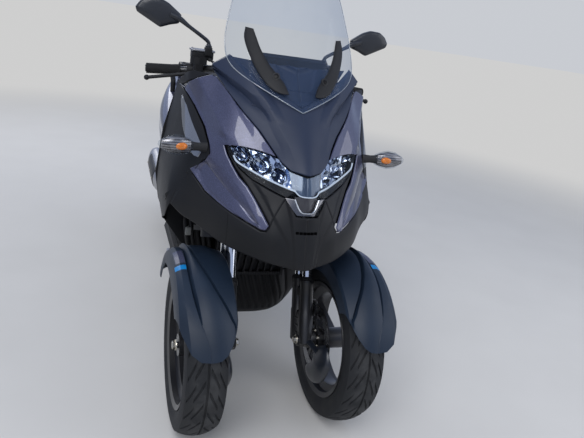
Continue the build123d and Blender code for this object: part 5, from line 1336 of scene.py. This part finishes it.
# Floor. Ribbed rubber mats lie on both footboards and on the centre tunnel's sides, held by
# countersunk screws.
mat_rubber = Finish("mat_rubber", {"Roughness": 0.82, "Specular IOR Level": 0.25})
spot = mat_rubber.place
mud = spot.noise(16.0, 6.0).step(0.4, 0.8)
mat_rubber.colour(mud.mix((0.013, 0.013, 0.014), (0.032, 0.031, 0.029)))
mat_rubber.bump(spot.noise(500.0, 2.0), 0.0003)
ribs, mat_foot = 13, 346.1
edges = np.linspace(116, 226, ribs * 4 + 1)
mat_x = np.concatenate([edges[:1], edges[:-1], edges[-1:]])
mat_y = np.concatenate([[377], np.linspace(378, 812, 5), [813]])
mat_z = np.concatenate([[mat_foot], 346.4 + np.tile([0.6, 3.4, 3.4, 0.6], ribs), [mat_foot]])
mat_screw = [(0, 0), (0, 8), (1.4, 8), (2.2, 6), (1.4, 3), (1.4, 0)]
for side, sign in sides:
    mat = spread(sign * mat_x[None, :], mat_y[:, None], mat_z[None, :])
    mat[[0, -1], :, 2] = mat_foot
    make(f"floor_mat_{side}", [sheet(mat)], mat_rubber.material, edge=20)
    screws = [lathe(mat_screw, (sign * 171, y, 349.4), (0, 0, 1), 20) for y in (396, 600, 794)]
    make(f"floor_screws_{side}", screws, steel_grey)


# Frame and cooling. Black painted steel tubes, and a finned radiator core with a filler cap and two
# clamped hoses.
tube_black = moulded("tube_black", (0.016, 0.016, 0.018), 0.38, 0.00005, 0.5,
                     {"Coat Weight": 0.3, "Coat Roughness": 0.25})
dress(tube_black, "frame", "swing_arm", "side_stand", "centre_stand")
core = Finish("radiator_core", {"Metallic": 0.6})
spot = core.place
# the near-black rows between the fins and columns between the tubes are painted shade of the openings in the core
fins_or_painted_shade = (spot.part(2) * 420.0).fraction() > 0.5
gap = (spot.part(0) * 110.0 + 50.0).fraction() > 0.82
core.colour((fins_or_painted_shade * (1.0 - gap)).mix((0.010, 0.010, 0.011), (0.055, 0.055, 0.058)))
core.feed("Roughness", 0.45 + spot.noise(30.0) * 0.2)
core.bump(fins_or_painted_shade * 0.5 + gap, 0.0008)
dress(core.material, "radiator")
hose_clamp = [(-5, 13.2), (-5, 14.6), (5, 14.6), (5, 13.2)]
hoses, clamps = [], []
for sign, height in ((1, 580), (-1, 366)):
    line = through([(sign * 108, 318, height), (sign * 108, 352, height), (sign * 104, 392, height - sign * 30),
                    (sign * 70, 424, height - sign * 60), (sign * 40, 440, height - sign * 70)], 40)
    hoses.append(carry(line, ring(13, 18)))
    clamps.append(lathe(hose_clamp, line[5], line[6] - line[5], 28, True))
make("radiator_hoses", hoses, soft_rubber)
make("hose_clamps", clamps, steel_grey)
filler_cap = [(0, 0), (0, 17), (3, 18), (9, 18), (12, 14), (13, 8), (13, 0)]
filler = [lathe(filler_cap, (96, 300, 592), (0, 0, 1), 24), pillow((96, 300, 606), (16, 5, 3), 0.4)]
make("radiator_cap", filler, cast_alloy)


# Belly. A ribbed black plastic pan closes the front from below, with a cheek on each side up to the
# footboards, a kick panel above them, and the front wiring loom with its white plugs.
down = through([(300, 352), (297, 300), (300, 240), (318, 190), (356, 162), (430, 168), (505, 200)], 80)
down_y, down_z = down[:, :1], down[:, 1:]
over = np.linspace(-1, 1, 121)[None, :]
pan_x = np.interp(down_z, [160, 200, 260, 352], [128, 158, 166, 150]) * over
wave = np.abs(((pan_x + 0.32 * down_z) / 26 + 0.5) % 1 - 0.5) * 2
flat_part = ramp((0.9 - np.abs(over)) / 0.04) * ramp((down_z - 196) / 12)
rib = 4.5 * ramp((wave - 0.45) / 0.2) * flat_part
curl = np.abs(over) ** 5
pan = np.stack([pan_x, down_y + 34 * curl + rib, down_z + 12 * curl * (down_y > 330)], -1)
thick(make("belly_pan", [sheet(pan)], black_plastic))
cheek_edge = through([(236, 374, 348), (241, 388, 314), (225, 428, 264), (206, 460, 218), (160, 472, 211)], 80)
u = np.linspace(0, 1, 10)[None, :, None]
cheek = pan[:, -1][:, None] * (1 - u) + cheek_edge[:, None] * u
cheek[..., 0] += 16 * np.sin(np.pi * u[..., 0])
thick(make("belly_cheeks", halves(cheek), black_plastic))
loom = []
for sign in (1, -1):
    for x, y, size in ((232, 326, 7), (214, 318, 5), (196, 330, 9), (176, 322, 6), (158, 330, 8)):
        cable = through([(sign * (x - 12), y + 6, 640), (sign * (x + 6), y, 560), (sign * x, y - 4, 500),
                         (sign * (x - 14), y + 4, 440), (sign * (x - 30), y + 8, 400)], 30)
        loom.append(carry(cable, ring(size, 12)))
    loom.append(pillow((sign * 190, 332, 560), (44, 5, 16), 0.35))
make("front_loom", loom, soft_rubber)
plug_white = moulded("plug_white", (0.30, 0.31, 0.30), 0.4, 0.00005)
make("loom_plugs", [pillow((sign * 226, 318, 506), (10, 9, 15), 0.3) for sign in (1, -1)], plug_white)
kick_x, kick_top = np.array([[178, 192, 206, 220, 237]]), np.array([[350, 377, 404, 428, 450]])
u = np.linspace(0, 1, 6)[:, None]
kick = spread(kick_x, 366 - 12 * u ** 0.5, 346.5 + (kick_top - 346.5) * u)
thick(make("floor_kick", halves(kick), black_plastic))


# Engine. Cast alloy block with cooling fins and a bolted cover, a ribbed belt case on the left with a
# screwed lid, and an oil filler.
dress(cast_alloy, "engine_block")
dress(cast_dark, "transmission_case")
fins = [pillow((-2, 1150, 268 + 13 * k), (81.5, 73, 2.0), 0.22) for k in range(9)]
make("engine_fins", fins, cast_alloy)
make("engine_side_cover", [pillow((-82, 1200, 430), (7, 100, 46), 0.3)], cast_dark)
cover_bolts = [(-80, y, z) for y, z in ((1200, 400), (1200, 460), (1280, 460), (1280, 400), (1120, 460), (1120, 400))]
make("engine_bolts", bolts(cover_bolts, (-1, 0, 0), 5), bolt_zinc)
pulley_front, pulley_back = np.array([1180, 340.0]), np.array([1595, 288.0])


def belt(count, r_front, r_back):
    """Hull of two circles: its ends are arcs between tangents, whose angle has the cosine (r1 - r2) / distance"""
    way = pulley_back - pulley_front
    slant = math.atan2(way[1], way[0])
    tangent = math.acos((r_front - r_back) / np.linalg.norm(way))
    one = np.linspace(slant + tangent, slant + 2 * math.pi - tangent, count)
    two = np.linspace(slant - tangent, slant + tangent, count)
    return np.concatenate([pulley_front + r_front * np.stack([np.cos(one), np.sin(one)], -1),
                           pulley_back + r_back * np.stack([np.cos(two), np.sin(two)], -1)])


lid_rows = []
for x, inset in ((149.5, 8), (153, 8), (154.6, 10), (155, 13), (154.4, 20), (151.5, 25), (151.5, 30), (153.2, 34),
                 (153.2, 50)):
    outline = belt(40, 98 - inset, 76 - inset)
    lid_rows.append(np.column_stack([np.full(len(outline), x), outline]))
middle = lid_rows[-1].mean(0)
lid_rows.append(middle + (lid_rows[-1] - middle) * 0.001)
make("belt_case_lid", [sheet(np.array(lid_rows), True)], cast_alloy, edge=26)
bolt_line = belt(40, 84, 62)
lid_bolts = [(154.8, *bolt_line[k]) for k in (2, 10, 18, 26, 36, 45, 56, 66, 76)]
make("belt_case_bolts", bolts(lid_bolts, (1, 0, 0), 4.2), bolt_zinc)
front_boss = [(0, 0), (0, 44), (2.5, 43), (4, 36), (2, 30), (2, 24), (4.5, 22), (5, 0)]
back_boss = [(0, 0), (0, 30), (3, 28), (4, 22), (2, 18), (2, 0)]
ribs = [pillow((153.6, 1290 + 26 * k, 326 - 3.2 * k), (2.4, 3.4, 34 - 1.6 * k), 0.5) for k in range(8)]
ribs += [lathe(front_boss, (152.5, *pulley_front), (1, 0, 0), 56),
         lathe(back_boss, (152.5, *pulley_back), (1, 0, 0), 48)]
make("belt_case_ribs", ribs, cast_alloy)
plug = lathe([(0, 0), (0, 15), (7, 15), (9, 12), (9, 0)], (60, 1298, 300), (0, 1, 0.3), 20)
make("oil_filler", [plug, pillow((60, 1309, 303), (12, 3, 3), 0.4)], black_plastic)


# Rear shocks. Black dampers inside painted coil springs, with threaded preload collars and steel
# bushes, one on each side of the wheel.
spring_paint = moulded("spring_paint", (0.025, 0.026, 0.030), 0.3, 0.00003, plain={"Coat Weight": 0.7})
bush_profile = [(-14, 0), (-14, 15), (-12, 16.5), (12, 16.5), (14, 15), (14, 0)]
coil_turns, coil_radius, coil_margin = 8.5, 22, 46


def helix(start, axis, across, along, angle, radius):
    """Points start + along axis + radius (cos angle across + sin angle over), where over is square to both"""
    over = np.cross(axis, across)
    return start + axis * along[:, None] + radius * (np.cos(angle)[:, None] * across + np.sin(angle)[:, None] * over)


for side, sign in sides:
    low_end, high_end = np.array([sign * 118, 1590, 390.0]), np.array([sign * 118, 1510, 618.0])
    total = np.linalg.norm(high_end - low_end)
    axis = (high_end - low_end) / total
    t = np.linspace(0, 1, 420)
    coil = helix(low_end, axis, np.array([1.0, 0, 0]), coil_margin + (total - 2 * coil_margin) * t,
                 2 * np.pi * coil_turns * t, coil_radius)
    shock = make(f"rear_shock_{side}_spring", [carry(coil, ring(3.9, 10), axis)], spring_paint, edge=60)
    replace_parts(shock, "rear_shock_" + side)
    damper = [(12, 0), (12, 11), (20, 13), (34, 13.5), (36, 25.5), (41, 25.8), (43, 14), (120, 14), (122, 9), (176, 9),
              (178, 14), (total - 46, 16), (total - 44, 25.6), (total - 39, 25.6), (total - 37, 15), (total - 18, 14),
              (total - 12, 11), (total - 12, 0)]
    make(f"rear_shock_{side}_damper", [lathe(damper, low_end, axis, 36)], cast_dark)
    bushes = []
    for end in (low_end, high_end):
        bushes.append(lathe(bush_profile, end, (1, 0, 0), 32))
        bushes += bolt(end + (sign * 14, 0, 0), (sign, 0, 0), 7.5)
    make(f"rear_shock_{side}_bushes", bushes, steel_grey)


# Exhaust. A brushed steel silencer with a dark end cap, a slotted black heat shield on its outer side
# held by three screws, and a heat-tinted pipe.
stainless = Finish("stainless", {"Metallic": 1.0})
spot = stainless.place
drawn = (spot * (200.0, 14.0, 200.0)).noise(1.0, 4.0)
heat = spot.part(1).step(-0.10, 0.50)
tint = heat.mix((0.28, 0.19, 0.12), (0.36, 0.36, 0.37))
stainless.colour((spot.part(1) > 0.494).mix(tint, (0.40, 0.40, 0.41)))
stainless.feed("Roughness", 0.26 + drawn * 0.16)
stainless.bump(drawn, 0.00006)
dress(stainless.material, "muffler")
shield_black = Finish("heat_shield", {"Metallic": 0.4, "Roughness": 0.45})
spot = shield_black.place
lengthwise = abs((spot.part(1) * 22.0 + 30.0).fraction() - 0.5) < 0.30
# the slots are painted near black: painted shade in the openings, which the bump also sinks
shield_slot_shade = lengthwise * (abs(abs(spot.part(2) - 0.348) - 0.018) < 0.005)
soot = spot.noise(9.0).mix((0.014, 0.014, 0.015), (0.022, 0.022, 0.023))
shield_black.colour(shield_slot_shade.mix(soot, (0.002, 0.002, 0.002)))
shield_black.bump(spot.noise(900.0) * 0.1 - shield_slot_shade, 0.0012)
# the shield is part of an oval round the silencer, lifted off it and turned in at its edges
arc = np.linspace(-0.85, 0.85, 33)[None, :]
shield_y = np.array([1424, 1428, 1440, 1500, 1600, 1690, 1702, 1706])[:, None]
lift = np.array([-1, 2.5, 4.5, 5, 5, 4.5, 2.5, -1])[:, None]
shield_z = np.interp(shield_y, [1340, 1410, 1740, 1800], [332, 338, 356, 360])
edge_in = 1 - ramp((np.abs(arc) - 0.78) / 0.07) * 0.1
shield = spread(-196 - (50 + lift) * np.cos(arc) * edge_in, shield_y,
                shield_z + (66 + lift) * np.sin(arc) * edge_in)
guard = make("muffler_heat_shield", [sheet(shield)], shield_black.material, edge=30)
thick(guard, 0.0015)
shield_screws = [(-250.5, y, np.interp(y, [1410, 1740], [338, 356])) for y in (1440, 1565, 1690)]
make("muffler_screws", bolts(shield_screws, (-1, 0, 0), 4), bolt_zinc)
outlet = [(-14, 0), (-14, 22), (-4, 28), (0, 24), (2, 18.5), (10, 18.5), (12, 17), (12, 14), (0, 14), (-8, 12), (-8, 0)]
make("muffler_outlet", [lathe(outlet, (-196, 1800, 372), (0, 1, 0), 40)], steel_grey)


# Rear bodywork. Glossy side cowls with a black lower fold, a dark tail with a red lamp, a black grab
# rail with a rubber rack pad, and passenger pegs.
cowl_front_y, cowl_back_y = 840, 1830
cowl_at = np.array([cowl_front_y, 1120, 1450, cowl_back_y], float)
cowl_halves = np.array([[(100, 352), (222, 360), (226, 470), (205, 600), (150, 684), (120, 690)],
                        [(206, 470), (232, 500), (240, 580), (228, 664), (178, 718), (126, 722)],
                        [(196, 600), (220, 620), (232, 680), (222, 742), (190, 806), (136, 812)],
                        [(96, 742), (120, 752), (134, 780), (132, 812), (112, 850), (70, 858)]], float)
cowl_y = np.linspace(cowl_front_y, cowl_back_y, 100)
cowl_sections = outlines_at(cowl_at, cowl_halves, cowl_y)


def cowl_panel(first, last, count, form):
    """Part of the cowl between two marks of its section, moved outwards by form(y, mark) with tucked edges"""
    marks = first + (last - first) * (0.5 - 0.5 * np.cos(np.pi * np.linspace(0, 1, count)))
    rows = []
    for section in cowl_sections:
        line = through(section, 201)
        rows.append(np.stack([np.interp(marks, np.linspace(0, 5, 201), line[:, k]) for k in range(2)], -1))
    rows = np.array(rows)
    points = spread(rows[..., 0], cowl_y[:, None], rows[..., 1])
    normal = grid_normals(points)
    normal *= np.sign(normal[..., :1] + 1e-9)
    tall = np.linalg.norm(points[:, 0] - points[:, -1], axis=1)[:, None]
    share = ((marks - first) / (last - first))[None, :]
    from_ends = np.minimum(cowl_y - cowl_front_y, cowl_back_y - cowl_y)[:, None]
    from_edge = np.minimum(np.minimum(share, 1 - share) * tall, from_ends)
    height = form(cowl_y[:, None], marks[None, :]) - 3.0 * ramp(1 - from_edge / 5) ** 2
    return points + normal * height[..., None]


def fold_form(y, mark):
    """A ridge along the widest line, deeper towards the tail, above a hollow that fades forwards"""
    ridge = ramp(1 - np.abs(mark - 3.0 - 0.35 * np.sin((y - cowl_front_y) / 330)) / 0.8)
    hollow = ramp(1 - np.abs(mark - 2.05) / 0.5) * ramp((y - 900) / 300)
    return 1.5 * ridge - 5.5 * hollow - 1.5


def face_sideways(piece, sign):
    """Turns a shell round when more than half of its faces look towards the vehicle's middle"""
    work = bmesh.new()
    work.from_mesh(piece.data)
    wrong = [face for face in work.faces if face.normal.x * sign < 0 and abs(face.normal.x) > 0.1]
    if len(wrong) > len(work.faces) / 2:
        bmesh.ops.reverse_faces(work, faces=work.faces[:])
    work.to_mesh(piece.data)
    work.free()
    return piece


upper = cowl_panel(1.35, 5, 48, fold_form)
lower = cowl_panel(0, 1.32, 20, lambda y, mark: -2.0 + 0 * y * mark)
for side, sign in sides:
    skin = make(f"rear_cowl_{side}_folded", [sheet(upper * (sign, 1, 1))], panel_paint, edge=30)
    low_skin = make(f"rear_cowl_{side}_lower", [sheet(lower * (sign, 1, 1))], black_plastic, edge=30)
    for piece in (skin, low_skin):
        thick(face_sideways(piece, sign))
    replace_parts(skin, "rear_cowl_" + side)
    vents = [pillow((sign * np.interp(y, [860, 1100], [214, 230]), y, 560 + (y - 900) * 0.12), (1.2, 5, 26), 0.4)
             for y in range(876, 1000, 20)]
    make(f"cowl_vents_{side}", vents, black_plastic)
    peg = [pillow((sign * 236, 1010, 452), (30, 16, 6), 0.4), pillow((sign * 216, 1000, 448), (14, 12, 10), 0.4)]
    make(f"passenger_peg_{side}", peg, cast_dark)
    tread_rubber = pillow((sign * 240, 1010, 459), (24, 13, 2.4), 0.4)
    make(f"peg_rubber_{side}", [tread_rubber], grip_rubber.material)
dress(black_plastic, "tail_cowl", "grab_rail")
red_lens = Finish("red_lens", {"Roughness": 0.08, "Coat Weight": 1.0, "Coat Roughness": 0.02})
spot = red_lens.place
prisms = (spot.part(0) * 700.0).sine() * 0.5 + 0.5
guide = (abs(abs(spot.part(2) - 0.800) - 0.011) < 0.0032) * (abs(spot.part(0)) < 0.060)
turn_end = abs(spot.part(0)) > 0.067
red = guide.mix(prisms.mix((0.20, 0.004, 0.004), (0.42, 0.012, 0.010)), (0.85, 0.06, 0.04))
orange = prisms.mix((0.45, 0.10, 0.01), (0.80, 0.22, 0.02))
red_lens.colour(turn_end.mix(red, orange))
red_lens.bump(prisms * (1.0 - guide) * 0.6 + turn_end * 0.4, 0.0008)
dress(red_lens.material, "tail_lamp")
rack = [pillow((x, 1752, 913.4), (9, 58, 2.6), 0.5) for x in (-78, -39, 0, 39, 78)]
make("rack_pad_ribs", rack, grip_rubber.material)
make("rack_bolts", bolts([(104, 1734, 912), (-104, 1734, 912)], (0, 0, 1), 5), bolt_zinc)


# Number plate. A blank white plate with a rolled edge on its black carrier, with two screws, a lamp
# above it and a red reflector below.
plate_white = Finish("plate_white", {"Roughness": 0.35, "Coat Weight": 0.3})
spot = plate_white.place
dirt = spot.noise(16.0, 6.0).step(0.45, 0.8) * 0.35
plate_white.colour(dirt.mix((0.74, 0.74, 0.72), (0.52, 0.50, 0.46)))
plate_white.bump(spot.noise(260.0, 2.0), 0.0001)
dress(plate_white.material, "number_plate")
plate_bend, plate_end = np.array([0, 1846.0, 700.0]), np.array([0, 1962.0, 446.0])
plate_length = np.linalg.norm(plate_end - plate_bend)
down = (plate_end - plate_bend) / plate_length
off = np.array([0, -down[2], down[1]])
plate_axes = np.stack([[1, 0, 0], down, off])


def on_slope(x, along, lift):
    """Point on the plate carrier: x across, along down its slope from the bend, and lift off its face"""
    return plate_bend + (x, 0, 0) + along * down + lift * off


make("plate_lamp", [pillow(on_slope(0, 40, 14), (34, 9, 9), 0.4, plate_axes)], black_plastic)
window = pillow(on_slope(0, 48, 10), (26, 3, 5), 0.4, plate_axes)
make("plate_lamp_window", [window], lens_clear)
plate_screw = [(0, 0), (0, 6.5), (1.6, 6.2), (2.4, 3), (2.4, 0)]
screws = [lathe(plate_screw, on_slope(sign * 60, plate_length - 190, 8.6), off, 20) for sign in (1, -1)]
make("plate_screws", screws, steel_grey)
reflector_profile = [(0, 0), (0, 17), (3, 17), (4.4, 14), (4.8, 0)]
make("rear_reflector", [lathe(reflector_profile, on_slope(0, 18, 0), off, 32)], red_lens.material)


# Seat. A moulded foam cushion in black synthetic leather: a low rider's saddle, a bolster behind it
# and a raised passenger's seat, with sewn edges, a centre insert and stitched cross channels.
# pairs of (distance behind the front axle, height or half width)
seat_pan_z = np.array([(780, 704), (796, 705), (842, 709), (1120, 739), (1450, 827), (1668, 855), (1690, 858)], float)
seat_top_z = np.array([(786, 738), (790, 752), (806, 774), (850, 791), (1000, 789), (1180, 794), (1215, 806),
                       (1240, 830), (1262, 858), (1285, 882), (1315, 894), (1450, 899), (1600, 905), (1640, 900),
                       (1668, 888), (1676, 866)], float)
seat_half = np.array([(784, 40), (790, 72), (806, 92), (836, 122), (900, 137), (1000, 158), (1150, 170), (1300, 164),
                      (1480, 150), (1630, 122), (1660, 96), (1674, 70), (1680, 40)], float)
seat_y = np.concatenate([[788, 791, 796, 803], np.arange(812, 1650, 12), [1655, 1662, 1668, 1673, 1676]])
low_z, high_z = (np.interp(seat_y, *line.T)[:, None] for line in (seat_pan_z, seat_top_z))
half_x = np.interp(seat_y, *seat_half.T)[:, None] - 5
t = circle(72)[None, :]
# the section is a squared oval: flat below, rounder above, where it also narrows and its shoulders drop
flat_x = squared(np.cos(t), 0.42)
flat_z = np.where(np.sin(t) > 0, squared(np.sin(t), 0.62), squared(np.sin(t), 0.30))
seat_x = half_x * (flat_x * (1 - 0.17 * ramp(flat_z) ** 1.6))
seat_z = (low_z + high_z) / 2 + (high_z - low_z) / 2 * flat_z - 5 * (np.abs(flat_x) ** 2.5 * (flat_z > 0))
seat_grid = close_ends(spread(seat_x, seat_y[:, None], seat_z))
leather = Finish("seat_leather", {"Specular IOR Level": 0.45})
cushion = make("seat_cushion_sewn", [sheet(seat_grid, True)], leather.material, "seat", 60)


def keep_shape(piece):
    """Makes what the modifiers show the piece's own mesh, and takes the modifiers off"""
    shown = bpy.data.meshes.new_from_object(piece.evaluated_get(bpy.context.evaluated_depsgraph_get()))
    piece.modifiers.clear()
    piece.data = shown


def mesh_values(piece, name):
    """What the mesh holds for each vertex under a name, such as its place or normal, as rows of three"""
    values = np.empty(len(piece.data.vertices) * 3)
    piece.data.vertices.foreach_get(name, values)
    return values.reshape(-1, 3)


# the cover is sewn short and filled: pressure rounds it out, and no point moves further than the limit in metres
foam_frames, foam_limit = 20, 0.012
grain = cushion.modifiers.new("even_mesh", "REMESH")
grain.mode = "VOXEL"
grain.voxel_size = 0.006
keep_shape(cushion)
before = mesh_values(cushion, "co")
foam = cushion.modifiers.new("foam", "CLOTH")
foam.settings.quality = 4
foam.settings.use_pressure = True
foam.settings.uniform_pressure_force = 4
foam.settings.effector_weights.gravity = 0
foam.settings.tension_stiffness = foam.settings.compression_stiffness = 25
foam.settings.bending_stiffness = 2
foam.point_cache.frame_end = foam_frames
for frame_number in range(1, foam_frames + 1):
    scene.frame_set(frame_number)
keep_shape(cushion)
moved = mesh_values(cushion, "co") - before
length = np.linalg.norm(moved, axis=1, keepdims=True)
filled = before + moved * np.minimum(1, foam_limit / np.maximum(length, 1e-9))
cushion.data.vertices.foreach_set("co", filled.ravel())
finer = cushion.modifiers.new("finer", "SUBSURF")
finer.levels = finer.render_levels = 1
keep_shape(cushion)

# the sewn lines: each is a distance from a line on the plan, and the cover is drawn in along them
spots = mesh_values(cushion, "co")
x_mm, y_mm, z_mm = spots[:, 0] * 1000, spots[:, 1] * 1000 + 844, spots[:, 2] * 1000
half_at = np.interp(y_mm, *seat_half.T)
pan_at, top_at = np.interp(y_mm, *seat_pan_z.T), np.interp(y_mm, *seat_top_z.T)
level = (z_mm - pan_at) / np.maximum(top_at - pan_at, 5)
upper = level > 0.55
far_away = 60.0
insert = 0.60 * half_at + 6 * np.sin((y_mm - 800) / 110)
edge_seam = np.where(level > 0.3, np.abs(level - 0.66) * (top_at - pan_at), far_away)
insert_seam = np.where(upper & (np.abs(x_mm) < half_at * 0.8), np.abs(np.abs(x_mm) - insert), far_away)
curve = 26 * (x_mm / half_at) ** 2
cross = np.full(len(y_mm), far_away)
for at in (1208, 1322, 1392, 1462, 1532, 1602, 900, 960, 1020, 1080, 1140):
    whole_width, bend = (half_at, -0.6) if at in (1208, 1322) else (insert, 0.5)
    reach = np.where((np.abs(x_mm) < whole_width) & upper, 0, far_away)
    cross = np.minimum(cross, np.abs(y_mm - at - curve * bend) + reach)
seam_at = np.minimum(np.minimum(edge_seam, insert_seam), cross)
run_at = np.where(cross < np.minimum(edge_seam, insert_seam), x_mm, y_mm)
puffed = 2.2 * np.exp(-((seam_at - 14) / 9) ** 2) * (seam_at < far_away - 1)
drawn_in = 3.4 * np.exp(-(seam_at / 4.2) ** 2) - puffed
spots = spots - mesh_values(cushion, "normal") * (drawn_in / 1000)[:, None]
spots[:, 2] = np.maximum(spots[:, 2], (pan_at + 0.3) / 1000)
spots[:, 0] = np.clip(spots[:, 0], -(half_at + 3) / 1000, (half_at + 3) / 1000)
cushion.data.vertices.foreach_set("co", spots.ravel())
mark = cushion.data.attributes.new("sewing", "FLOAT_VECTOR", "POINT")
insert_zone = (np.abs(x_mm) < insert) & upper
mark.data.foreach_set("vector", np.stack([seam_at, run_at, insert_zone.astype(float)], -1).ravel())
cushion.data.update()
cushion.data.shade_smooth()
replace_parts(cushion, "seat_cushion")
sewing = leather.place.node("Attribute", {"attribute_name": "sewing"}, None, "Vector")
distance, run, zone = sewing.part(0), sewing.part(1), sewing.part(2)
stitch = (run * 0.19 + 400.0).fraction() > 0.34
thread = (distance > 3.6) * (distance < 4.9) * stitch
# the cover is painted near black along each sewn ditch: painted shade in the crease
seam_ditch_shade = 1.0 - distance.step(0.4, 1.6)
pores = leather.place.cells(620.0)
creases = leather.place.cells(260.0, 0, {"feature": "DISTANCE_TO_EDGE"}).step(0.0, 0.12)
hide = leather.place.noise(8.0, 5.0).step(0.3, 0.75)
outer_tone = hide.mix((0.020, 0.020, 0.021), (0.030, 0.029, 0.029))
insert_tone = hide.mix((0.012, 0.012, 0.013), (0.020, 0.019, 0.019))
cover_tone = seam_ditch_shade.mix(zone.mix(outer_tone, insert_tone), (0.004, 0.004, 0.004))
leather.colour(thread.mix(cover_tone, (0.16, 0.16, 0.17)))
leather.feed("Roughness", 0.50 + leather.place.noise(30.0) * 0.14 + zone * 0.08)
leather.bump(pores * 0.5 + creases * (0.4 + zone * 0.6) + thread * 1.2 - seam_ditch_shade, 0.00035)
hinge = lathe([(-29, 0), (-29, 9), (-26, 10), (26, 10), (29, 9), (29, 0)], (0, 815, 692), (1, 0, 0), 24)
make("seat_hinge_pin", [hinge], steel_grey, "seat")


# Stands. Black steel with steel pads under the centre stand's feet, pivot bolts and a return spring
# between the side stand's leg and the frame.
def return_spring(name, start, end, body, loops=16, size=6.0):
    """Close coil between two eyes: a helix about the line between them that narrows to each end"""
    start, end = np.asarray(start, float), np.asarray(end, float)
    length = np.linalg.norm(end - start)
    axis = (end - start) / length
    across = np.cross(axis, (1, 0, 0.01))
    across /= np.linalg.norm(across)
    t = np.linspace(0, 1, loops * 14)
    grow = np.clip(np.minimum(t, 1 - t) / 0.08, 0.12, 1)
    line = helix(start, axis, across, t * length, 2 * np.pi * loops * t, size * grow[:, None])
    make(name, [carry(line, ring(1.4, 6), axis)], steel_grey, body, 60)


pads = [pillow((sign * 150, 1226, 9), (19, 37, 7), 0.35) for sign in (1, -1)]
make("centre_stand_pads", pads, steel_grey, "centre_stand")
pivots = [head for sign in (1, -1) for head in bolt((sign * 106, 1240, 190), (sign, 0, 0), 9)]
make("centre_stand_bolts", pivots, bolt_zinc, "centre_stand")
pivot = bolt((104, 930, 215), (-1, 0, 0), 8) + bolt((122, 930, 215), (1, 0, 0), 8)
make("side_stand_bolt", pivot, bolt_zinc, "side_stand")
return_spring("side_stand_spring", (116, 952, 222), (148, 1060, 222), "side_stand")

low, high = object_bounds()
